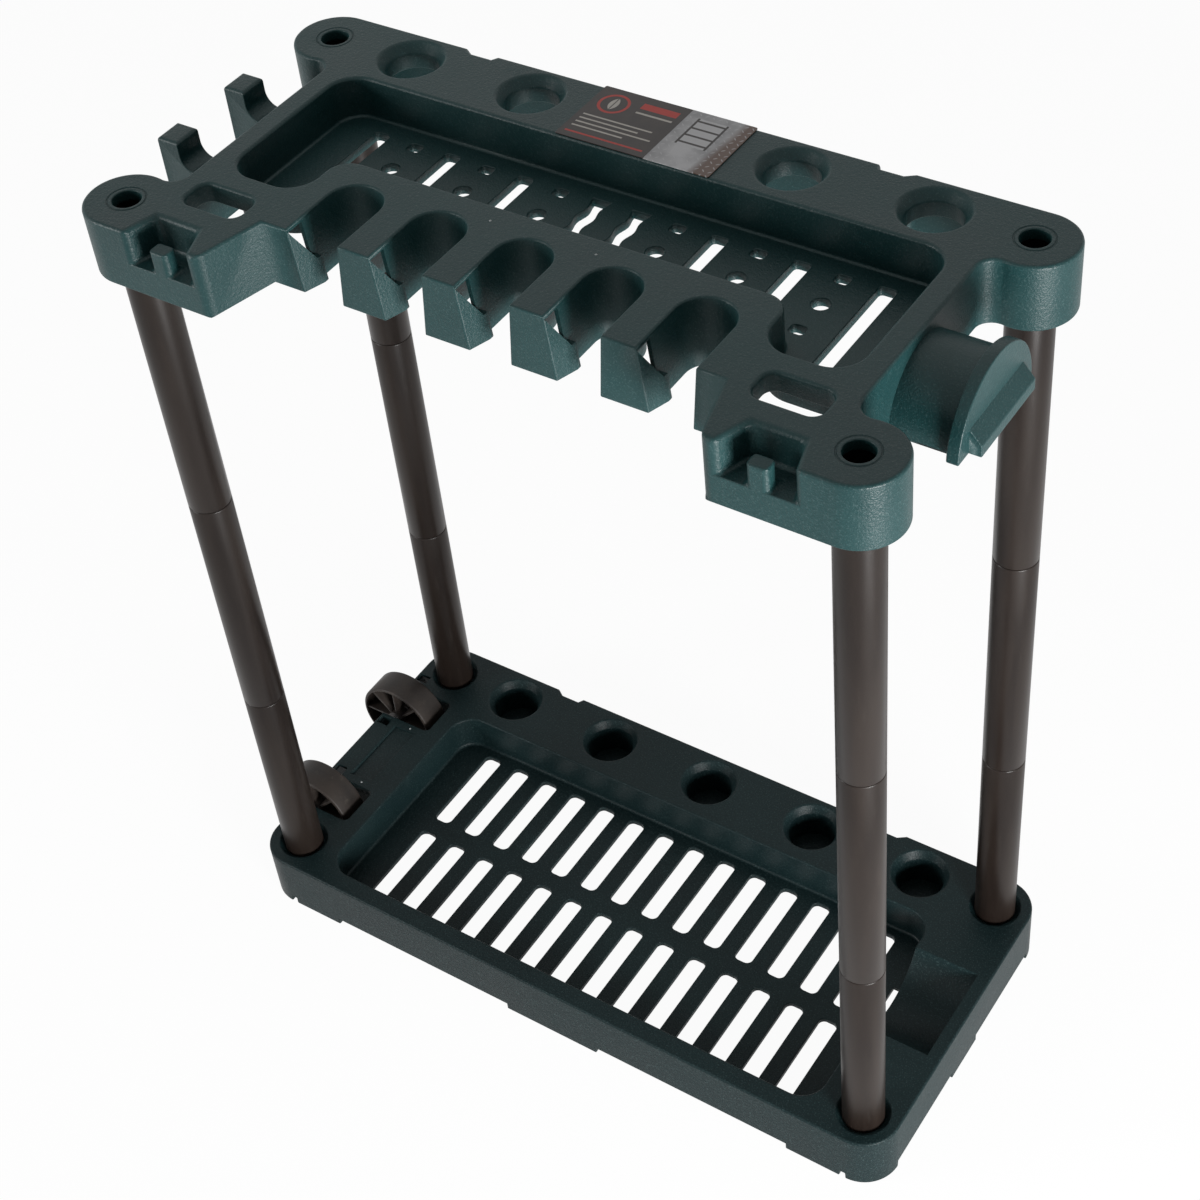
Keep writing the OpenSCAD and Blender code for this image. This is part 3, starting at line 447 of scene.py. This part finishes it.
# low buttons: rings of falling radius and rising height about each gate, closed top and bottom
def gateMesh(look):
    angle = np.linspace(0, 2 * math.pi, look["turns"], endpoint=False)[None, :]
    radius, height = np.array(look["radii"])[:, None], np.array(look["heights"])[:, None]
    button = np.stack([radius * np.cos(angle), radius * np.sin(angle), height + 0 * angle],
                      axis=-1)
    places = np.array(look["places"])
    points = (button[None] + places[:, None, None]).reshape(-1, 3)
    size = button.shape[0] * button.shape[1]
    firstOf = np.arange(len(places))[:, None] * size
    sides = gridFaces(len(radius), look["turns"], False, True)[None] + firstOf[:, None]
    ring = np.arange(look["turns"])
    caps = np.concatenate([ring[::-1] + firstOf, ring + size - look["turns"] + firstOf])
    return meshFrom("gates", points, sides.reshape(-1, 4).tolist() + caps.tolist())


gates = gateMesh(gateShape)
faceOutwards(gates)
pieceFrom(gates, "gateMarks", mouldedPlastic("gatePale", gateLook), "rack", None)
print("gate marks set")

# the base tray's edges
baseFace, baseFloor = (0.04998, 0.05002), (0.01898, 0.01902)
baseRounds = [
    (0.0007, {"fold": standsOut, "length": (0.002, 1)}),
    (0.0008, {"fold": standsOut, "z": (-1, 0.0061)}),
    (0.0009, {"fold": standsOut, "z": baseFloor}),
    (0.0018, {"fold": standsOut, "z": baseFace}),
    (0.0012, {"fold": standsOut, "z": baseFace, "hole": (0, 0.0245), "out": (0, 0.23)}),
    (0.0007, {"fold": standsOut, "z": baseFace, "pole": (0, 0.022)}),
    (0.0, {"right": (0.2252, 0.2785), "away": (0, 0.045)}),
    (0.0024, {"fold": liesIn, "z": baseFloor}),
    (0.0, {"right": (0.2165, 0.2262), "z": baseFloor}),
    (0.0003, {"fold": standsOut, "right": (-0.288, -0.236), "away": (0, 0.098), "z": (0.0449, 1),
              "pole": (0.0225, 1)}),
    (0.0, {"right": (-0.275, -0.2485), "away": (0, 0.0315), "z": (0.0449, 1)}),
]


baseTray = pieceFrom(joinedSections("baseTray", baseSections), "baseTray",
                     mouldedPlastic("baseTrayGreenShaded", shadedBaseLook), "rack",
                     baseSections)
roundEdges(baseTray, baseRounds, rackPlan)
print("base tray joined and rounded:", len(baseTray.data.polygons), "faces")


tubeLook = dict(
    topLook, deep=(0.008, 0.0054, 0.0044, 1), pale=(0.014, 0.0100, 0.0080, 1), specular=0.20,
    paintedGlint=(0.06, 0.05, 0.045, 1), scuffed=(0.07, 0.06, 0.05, 1), paintedGlintShare=0.10,
    scuffShare=0.14, roughness=(0.30, 0.38), stretch=(1, 1, 0.12), driftScale=60,
    scuffScale=140, grainScale=1300, grainHeight=0.00006, grainStrength=0.35)
poleTube = {
    "outer": 0.0156, "bore": 0.0140, "body": 0.200, "uppermost": 0.245, "spigotEnd": 0.245,
    "spigot": 0.01385, "spigotBore": 0.01225, "taper": 0.0032, "foot": 0.025, "step": 0.200,
    "edge": 0.0011, "mouthEdge": 0.0003, "neckEdge": 0.0002, "tipEdge": 0.0005,
    "turns": 96, "arcSteps": 4,
    "poles": {"front_left": (-0.2505, -0.1065), "front_right": (0.2695, -0.1065),
              "back_left": (-0.2505, 0.1065), "back_right": (0.2695, 0.1065)},
    "levels": ["lower", "middle", "upper"],
}
tubePlastic = mouldedPlastic("poleBrown", tubeLook)


# half section of a tube: a plain pipe, or a pipe with a spigot that plugs into the next one
def tubeSection(look, hasSpigot):
    mouth, edge, neck = look["mouthEdge"], look["edge"], look["neckEdge"]
    if hasSpigot:
        corners = [(look["bore"], 0), (look["outer"], 0), (look["outer"], look["body"]),
                   (look["spigot"], look["body"]), (look["spigot"], look["spigotEnd"]),
                   (look["spigotBore"], look["spigotEnd"]),
                   (look["spigotBore"], look["body"] - look["taper"]),
                   (look["bore"], look["body"] - 2 * look["taper"])]
        radii = [mouth, edge, edge, neck, look["tipEdge"], mouth, neck, neck]
    else:
        corners = [(look["bore"], 0), (look["outer"], 0), (look["outer"], look["uppermost"]),
                   (look["bore"], look["uppermost"])]
        radii = [mouth, edge, edge, mouth]
    return roundedOutline(corners, radii, look["arcSteps"])


for poleName, (poleX, poleY) in poleTube["poles"].items():
    for level, levelName in enumerate(poleTube["levels"]):
        stand = np.array([[1, 0, 0, poleX], [0, 1, 0, poleY],
                          [0, 0, 1, poleTube["foot"] + level * poleTube["step"]]], float)
        section = tubeSection(poleTube, level < len(poleTube["levels"]) - 1)
        points, faces = turned(section, poleTube["turns"], stand)
        tubeMesh = meshFrom("tube", points, faces)
        faceOutwards(tubeMesh)
        nodeName = "tube_" + poleName + "_" + levelName
        pieceFrom(tubeMesh, "tube." + poleName + "." + levelName, tubePlastic,
                  "rack", [nodeName])
print("tubes turned")


wheelLook = dict(
    topLook, deep=(0.010, 0.008, 0.007, 1), pale=(0.022, 0.017, 0.014, 1),
    paintedGlint=(0.07, 0.06, 0.05, 1), scuffed=(0.10, 0.085, 0.07, 1), paintedGlintShare=0.12,
    scuffShare=0.30, roughness=(0.42, 0.55), driftScale=40, scuffScale=90,
    grainScale=1100, grainHeight=0.00012, grainStrength=0.5)
wheelShape = {
    "axle": (-0.2715, 0.0365), "distance": 0.058, "bore": 0.00405, "hub": 0.0085,
    "halfWidth": 0.0125, "web": 0.0011, "rimInner": 0.0324, "rim": 0.035, "turns": 144,
    "shoulder": 0.0016, "fillet": 0.0016, "fine": 0.0005, "arcSteps": 4,
    "ribs": 8, "ribHalf": 0.0009, "ribHeight": 0.011, "ribFrom": 0.006, "ribTo": 0.0330,
    "ribRound": 0.0005, "crease": 50,
}


# half section of a wheel, the same on both faces: hub, thin web and wide rim, each corner rounded
def wheelSection(look):
    half, web = look["halfWidth"], look["web"]
    corners = [(look["bore"], -half), (look["hub"], -half), (look["hub"], -web),
               (look["rimInner"], -web), (look["rimInner"], -half), (look["rim"], -half),
               (look["rim"], half), (look["rimInner"], half), (look["rimInner"], web),
               (look["hub"], web), (look["hub"], half), (look["bore"], half)]
    fine, fillet, shoulder = look["fine"], look["fillet"], look["shoulder"]
    radii = [fine, fine, fillet, fillet, fine, shoulder,
             shoulder, fine, fillet, fillet, fine, fine]
    return roundedOutline(corners, radii, look["arcSteps"])


# a rib: a rounded upright section carried straight along a radius, its ends inside hub and rim
def wheelRibs(look, frameOf):
    outline = roundedOutline([(-look["ribHalf"], -look["ribHeight"]),
                              (look["ribHalf"], -look["ribHeight"]),
                              (look["ribHalf"], look["ribHeight"]),
                              (-look["ribHalf"], look["ribHeight"])],
                             [look["ribRound"]] * 4, look["arcSteps"])
    along = np.array([look["ribFrom"], look["ribTo"]])
    rib = np.stack([np.broadcast_to(along[:, None], (2, len(outline))),
                    np.broadcast_to(outline[:, 0], (2, len(outline))),
                    np.broadcast_to(outline[:, 1], (2, len(outline)))], axis=-1).reshape(-1, 3)
    turn = np.arange(look["ribs"]) * 2 * math.pi / look["ribs"]
    cosine, sine = np.cos(turn)[:, None], np.sin(turn)[:, None]
    points = np.stack([rib[:, 0] * cosine - rib[:, 1] * sine,
                       rib[:, 0] * sine + rib[:, 1] * cosine,
                       np.broadcast_to(rib[:, 2], (look["ribs"], len(rib)))], axis=-1)
    firstOf = np.arange(look["ribs"])[:, None] * len(rib)
    sides = (gridFaces(2, len(outline), False, True)[None] + firstOf[:, None]).reshape(-1, 4)
    ring = np.arange(len(outline))
    caps = np.concatenate([ring[::-1] + firstOf, ring + len(outline) + firstOf])
    return points.reshape(-1, 3) @ frameOf[:, :3].T + frameOf[:, 3], sides, caps


wheelPlastic = mouldedPlastic("wheelBlack", wheelLook)
for wheelName, side in (("front", -1), ("back", 1)):
    axleX, axleZ = wheelShape["axle"]
    stand = np.array([[1, 0, 0, axleX], [0, 0, 1, side * wheelShape["distance"]],
                      [0, -1, 0, axleZ]], float)
    points, faces = turned(wheelSection(wheelShape), wheelShape["turns"], stand)
    points = points.reshape(-1, 3)
    ribPoints, ribSides, ribCaps = wheelRibs(wheelShape, stand)
    allFaces = (faces.tolist() + (ribSides + len(points)).tolist()
                + (ribCaps + len(points)).tolist())
    wheelMesh = meshFrom("wheel", np.concatenate([points, ribPoints]), allFaces)
    faceOutwards(wheelMesh)
    wheelMesh.set_sharp_from_angle(angle=math.radians(wheelShape["crease"]))
    pieceFrom(wheelMesh, "wheel." + wheelName, wheelPlastic,
              "wheel_" + wheelName, ["wheel_" + wheelName])
print("wheels turned")


pinLook = {"deep": (0.32, 0.32, 0.33, 1), "pale": (0.48, 0.48, 0.49, 1), "roughness": (0.28, 0.42),
           "lineScale": 400, "lineDetail": (3.0, 0.7), "lineStretch": (1, 0.04, 1),
           "lineSpan": (0.3, 0.7)}


# steel: fine lines along the pin vary its colour and its gloss
def brushedSteel(name, look):
    material, tree, shader, place = startMaterial(name)
    stretched = addNode(tree, "ShaderNodeMapping",
                        {"Vector": place, "Scale": look["lineStretch"]}).outputs["Vector"]
    lines = noiseAt(tree, stretched, look["lineScale"], *look["lineDetail"])
    tree.links.new(mixColour(tree, lines, look["deep"], look["pale"]), shader.inputs["Base Color"])
    tree.links.new(remap(tree, lines, *look["lineSpan"], *look["roughness"]),
                   shader.inputs["Roughness"])
    shader.inputs["Metallic"].default_value = 1.0
    return material


pinSteel = brushedSteel("pinSteel", pinLook)
for pinName in ("axle_pin_front", "axle_pin_back"):
    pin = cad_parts[pinName]
    pin.data.materials.clear()
    pin.data.materials.append(pinSteel)
print("pins dressed")


cardShape = {"x": (-0.0475, 0.0665), "y": (0.0745, 0.1351), "z": (0.6785, 0.6793),
             "corner": 0.0012, "edge": 0.00015, "arcSteps": 5, "crease": 30}
cardPrint = {
    "split": 0.019, "brown": (0.013, 0.009, 0.008, 1), "brownPale": (0.028, 0.019, 0.016, 1),
    "mottleScale": 120, "mottleDetail": 4.0, "mottleSpan": (0.35, 0.7),
    "red": (0.50, 0.030, 0.018, 1), "cream": (0.55, 0.52, 0.47, 1),
    "redBoxes": [(0.0005, 0.1245, 0.0135, 0.0032), (-0.0145, 0.0805, 0.029, 0.0008)],
    "creamBoxes": [(0.0005, 0.1165, 0.0135, 0.0009), (-0.0170, 0.1010, 0.026, 0.0007),
                   (-0.0210, 0.0965, 0.022, 0.0007), (-0.0150, 0.0920, 0.028, 0.0007),
                   (-0.0240, 0.0875, 0.019, 0.0007)],
    "ring": (-0.0310, 0.1185), "ringRadius": 0.0100, "ringWidth": 0.0010,
    "leafShift": 0.0055, "leafRadius": 0.0088, "leafRib": 0.00035, "fade": 0.00015,
    "plateCell": 0.0048, "lozenge": (0.30, 0.085), "lozengeSpan": (0.8, 1.2), "lozengeShare": 0.75,
    "silver": (0.30, 0.30, 0.31, 1), "silverPale": (0.60, 0.60, 0.61, 1),
    "panel": [(0.0385, 0.1130, 0.0100, 0.0150)],
    "slats": [(0.0385, 0.1010, 0.0112, 0.0009), (0.0385, 0.1090, 0.0112, 0.0009),
              (0.0385, 0.1170, 0.0112, 0.0009), (0.0385, 0.1250, 0.0112, 0.0009),
              (0.0280, 0.1130, 0.0008, 0.0150), (0.0490, 0.1130, 0.0008, 0.0150)],
    "bronze": (0.14, 0.09, 0.07, 1), "bronzeLean": 0.10, "bronzeSpan": (0.0425, 0.0485),
    "driftScale": 45, "driftDetail": 3.0, "driftSpan": (0.35, 0.65), "evenCells": 400,
    "roughness": (0.28, 0.38), "specular": 0.30,
    "grainScale": 1500, "grainDetail": 2.0, "grainSpan": (0.3, 0.7),
    "grainStrength": 0.2, "grainHeight": 0.00005,
}


# share 1 inside a band of a given half width about a value, fading over a hair's breadth
def bandAt(tree, value, centre, half, fade):
    away = mathOf(tree, "ABSOLUTE", mathOf(tree, "SUBTRACT", value, centre))
    return remap(tree, away, half - fade, half + fade, 1.0, 0.0)


# share 1 inside any box of a list: middle x and y, half width and half depth
def boxesAt(tree, x, y, boxes, fade):
    share = 0.0
    for middleX, middleY, halfX, halfY in boxes:
        box = mathOf(tree, "MULTIPLY", bandAt(tree, x, middleX, halfX, fade),
                     bandAt(tree, y, middleY, halfY, fade))
        share = mathOf(tree, "MAXIMUM", share, box)
    return share


# length of a flat vector: the square root of the sum of the squares
def lengthOf(tree, x, y):
    return mathOf(tree, "SQRT", mathOf(tree, "ADD", mathOf(tree, "MULTIPLY", x, x),
                                       mathOf(tree, "MULTIPLY", y, y)))


# brown panel: a leaf, where two circles overlap, inside a ring, with plain red and cream bars
def printedPanel(tree, look, place, x, y):
    fade = look["fade"]
    mottled = remap(tree, noiseAt(tree, place, look["mottleScale"], look["mottleDetail"]),
                    *look["mottleSpan"])
    brown = mixColour(tree, mottled, look["brown"], look["brownPale"])
    ringX = mathOf(tree, "SUBTRACT", x, look["ring"][0])
    ringY = mathOf(tree, "SUBTRACT", y, look["ring"][1])
    ring = bandAt(tree, lengthOf(tree, ringX, ringY), look["ringRadius"], look["ringWidth"], fade)
    leafX = mathOf(tree, "ADD", mathOf(tree, "ABSOLUTE", ringX), look["leafShift"])
    leaf = remap(tree, lengthOf(tree, leafX, ringY), look["leafRadius"] - fade,
                 look["leafRadius"] + fade, 1.0, 0.0)
    rib = mathOf(tree, "MULTIPLY", leaf, bandAt(tree, ringX, 0.0, look["leafRib"], fade))
    red = mathOf(tree, "MAXIMUM", ring, boxesAt(tree, x, y, look["redBoxes"], fade))
    cream = mathOf(tree, "MAXIMUM", leaf, boxesAt(tree, x, y, look["creamBoxes"], fade))
    panel = mixColour(tree, red, brown, look["red"])
    panel = mixColour(tree, cream, panel, look["cream"])
    return mixColour(tree, rib, panel, look["brown"])


# plate: lozenges that lie along one diagonal and then the other from cell to cell, a bronze end,
# and a pale panel under dark slats
def printedPlate(tree, look, place, x, y):
    cellX = mathOf(tree, "ADD", mathOf(tree, "DIVIDE", x, look["plateCell"]), look["evenCells"])
    cellY = mathOf(tree, "ADD", mathOf(tree, "DIVIDE", y, look["plateCell"]), look["evenCells"])
    parity = mathOf(tree, "MODULO", mathOf(tree, "ADD", mathOf(tree, "FLOOR", cellX),
                                           mathOf(tree, "FLOOR", cellY)), 2.0)
    turn = mathOf(tree, "SUBTRACT", mathOf(tree, "MULTIPLY", parity, 2.0), 1.0)
    u = mathOf(tree, "SUBTRACT", mathOf(tree, "FRACT", cellX), 0.5)
    v = mathOf(tree, "MULTIPLY", mathOf(tree, "SUBTRACT", mathOf(tree, "FRACT", cellY), 0.5), turn)
    diagonal = math.sqrt(0.5)
    along = mathOf(tree, "MULTIPLY", mathOf(tree, "ADD", u, v), diagonal / look["lozenge"][0])
    across = mathOf(tree, "MULTIPLY", mathOf(tree, "SUBTRACT", u, v),
                    diagonal / look["lozenge"][1])
    lozenge = remap(tree, lengthOf(tree, along, across), *look["lozengeSpan"], 1.0, 0.0)
    drift = remap(tree, noiseAt(tree, place, look["driftScale"], look["driftDetail"]),
                  *look["driftSpan"])
    plate = mixColour(tree, drift, look["silver"], look["silverPale"])
    lean = mathOf(tree, "SUBTRACT", x, mathOf(tree, "MULTIPLY", y, look["bronzeLean"]))
    plate = mixColour(tree, remap(tree, lean, *look["bronzeSpan"]), plate, look["bronze"])
    plate = mixColour(tree, mathOf(tree, "MULTIPLY", lozenge, look["lozengeShare"]), plate,
                      look["silverPale"])
    plate = mixColour(tree, boxesAt(tree, x, y, look["panel"], look["fade"]), plate,
                      look["silverPale"])
    return mixColour(tree, boxesAt(tree, x, y, look["slats"], look["fade"]), plate, look["brown"])


# the card's print: the brown panel left of the split and the plate right of it, under a fine
# grain that varies the gloss
def printedCard(name, look):
    material, tree, shader, place = startMaterial(name)
    split = addNode(tree, "ShaderNodeSeparateXYZ", {"Vector": place})
    x, y = split.outputs["X"], split.outputs["Y"]
    onPlate = remap(tree, x, look["split"] - look["fade"], look["split"] + look["fade"])
    colour = mixColour(tree, onPlate, printedPanel(tree, look, place, x, y),
                       printedPlate(tree, look, place, x, y))
    grain = noiseAt(tree, place, look["grainScale"], look["grainDetail"])
    bump = addNode(tree, "ShaderNodeBump", {"Strength": look["grainStrength"],
                                            "Distance": look["grainHeight"], "Height": grain})
    tree.links.new(colour, shader.inputs["Base Color"])
    tree.links.new(remap(tree, grain, *look["grainSpan"], *look["roughness"]),
                   shader.inputs["Roughness"])
    tree.links.new(bump.outputs["Normal"], shader.inputs["Normal"])
    shader.inputs["Specular IOR Level"].default_value = look["specular"]
    return material


# loops of a rounded rectangle stacked into a thin slab: the outer two stand in by the edge
def cardMesh(look):
    low, high = (look["x"][0], look["y"][0]), (look["x"][1], look["y"][1])
    levels = [(look["z"][0], look["edge"]), (look["z"][0] + look["edge"], 0.0),
              (look["z"][1] - look["edge"], 0.0), (look["z"][1], look["edge"])]
    rings = []
    for height, inset in levels:
        corners = [(low[0] + inset, low[1] + inset), (high[0] - inset, low[1] + inset),
                   (high[0] - inset, high[1] - inset), (low[0] + inset, high[1] - inset)]
        ring = roundedOutline(corners, [look["corner"]] * 4, look["arcSteps"])
        rings.append(np.column_stack([ring, np.full(len(ring), height)]))
    count = len(rings[0])
    faces = gridFaces(len(rings), count, False, True).tolist()
    faces.append(list(range(count))[::-1])
    faces.append([index + 3 * count for index in range(count)])
    return meshFrom("card", np.concatenate(rings), faces)


card = cardMesh(cardShape)
faceOutwards(card)
card.set_sharp_from_angle(angle=math.radians(cardShape["crease"]))
pieceFrom(card, "printedCard", printedCard("cardPrint", cardPrint), "card",
          ["info_card"])
print("card printed")


viewFrom = {"place": (0.70374, -0.89757, 1.45818), "azimuth": 37.0075, "elevation": 44.1946,
            "roll": -6.1341, "lens": 67.406, "sensor": 36.0, "clip": (0.05, 60),
            "shift": (-0.023275, -0.002548)}
azimuth, elevation, roll = (math.radians(viewFrom[key])
                            for key in ("azimuth", "elevation", "roll"))
backward = Vector((math.sin(azimuth) * math.cos(elevation),
                   -math.cos(azimuth) * math.cos(elevation), math.sin(elevation)))
level = Vector((math.cos(azimuth), math.sin(azimuth), 0))
upward = backward.cross(level)
rightward = math.cos(roll) * level + math.sin(roll) * upward
upward = backward.cross(rightward)
cameraData = bpy.data.cameras.new("view")
cameraData.lens, cameraData.sensor_width = viewFrom["lens"], viewFrom["sensor"]
cameraData.shift_x, cameraData.shift_y = viewFrom["shift"]
cameraData.clip_start, cameraData.clip_end = viewFrom["clip"]
camera = bpy.data.objects.new("view", cameraData)
scene.collection.objects.link(camera)
camera.matrix_world = Matrix.Translation(viewFrom["place"]) @ Matrix(
    (rightward, upward, backward)).transposed().to_4x4()
bpy.context.scene.camera = camera

studio = {
    "floorHalf": 25.0, "floorColour": (0.88, 0.88, 0.88, 1), "floorRoughness": 0.9,
    "whiteShare": 0.955, "ambient": 0.16,
    "lamps": [
        {"name": "frontRight", "place": (1.32, -0.68, 0.36), "aim": (0.1, 0, 0.50),
         "size": 0.45, "watts": 42},
        {"name": "overhead", "place": (-0.2, 0.5, 2.4), "aim": (0, 0, 0.4),
         "size": 1.6, "watts": 4},
        {"name": "leftFill", "place": (-1.7, -1.7, 0.95), "aim": (0, 0, 0.45),
         "size": 0.7, "watts": 32},
    ],
}
corner = studio["floorHalf"]
floorMesh = meshFrom("floor", np.array([[-corner, -corner, 0], [corner, -corner, 0],
                                        [corner, corner, 0], [-corner, corner, 0]], float),
                     [(0, 1, 2, 3)])
floor = bpy.data.objects.new("floor", floorMesh)
scene.collection.objects.link(floor)


# share 1 for what the camera, a reflection or a see-through surface sees directly
def seenDirectly(tree):
    path = tree.nodes.new("ShaderNodeLightPath")
    return mathOf(tree, "MAXIMUM", path.outputs["Is Camera Ray"],
                  mathOf(tree, "MAXIMUM", path.outputs["Is Glossy Ray"],
                         path.outputs["Is Transmission Ray"]))


# the floor's own pale colour with its shadows, mostly hidden under plain white where seen directly
def floorMaterial(look):
    material, tree, shader, _ = startMaterial("paleFloor")
    shader.inputs["Base Color"].default_value = look["floorColour"]
    shader.inputs["Roughness"].default_value = look["floorRoughness"]
    shader.inputs["Specular IOR Level"].default_value = 0.0
    white = addNode(tree, "ShaderNodeEmission", {"Color": (1, 1, 1, 1), "Strength": 1.0})
    share = mathOf(tree, "MULTIPLY", seenDirectly(tree), look["whiteShare"])
    blend = addNode(tree, "ShaderNodeMixShader", {0: share, 1: shader.outputs["BSDF"],
                                                  2: white.outputs["Emission"]})
    surface = next(node for node in tree.nodes if node.type == "OUTPUT_MATERIAL")
    tree.links.new(blend.outputs["Shader"], surface.inputs["Surface"])
    return material


floorMesh.materials.append(floorMaterial(studio))

world = bpy.data.worlds.new("studioAir")
scene.world = world
world.use_nodes = True
worldTree = world.node_tree
worldTree.nodes.clear()
strength = remap(worldTree, seenDirectly(worldTree), 0, 1, studio["ambient"], 1.0)
air = addNode(worldTree, "ShaderNodeBackground", {"Color": (1, 1, 1, 1), "Strength": strength})
worldOutput = worldTree.nodes.new("ShaderNodeOutputWorld")
worldTree.links.new(air.outputs["Background"], worldOutput.inputs["Surface"])

for lamp in studio["lamps"]:
    lampData = bpy.data.lights.new(lamp["name"], "AREA")
    lampData.shape, lampData.size, lampData.energy = "SQUARE", lamp["size"], lamp["watts"]
    light = bpy.data.objects.new(lamp["name"], lampData)
    scene.collection.objects.link(light)
    light.location = lamp["place"]
    aim = Vector(lamp["aim"]) - Vector(lamp["place"])
    light.rotation_euler = aim.to_track_quat("-Z", "Y").to_euler()

scene.view_settings.view_transform = "Standard"
print("camera, floor and light set")

bpy.context.view_layer.update()
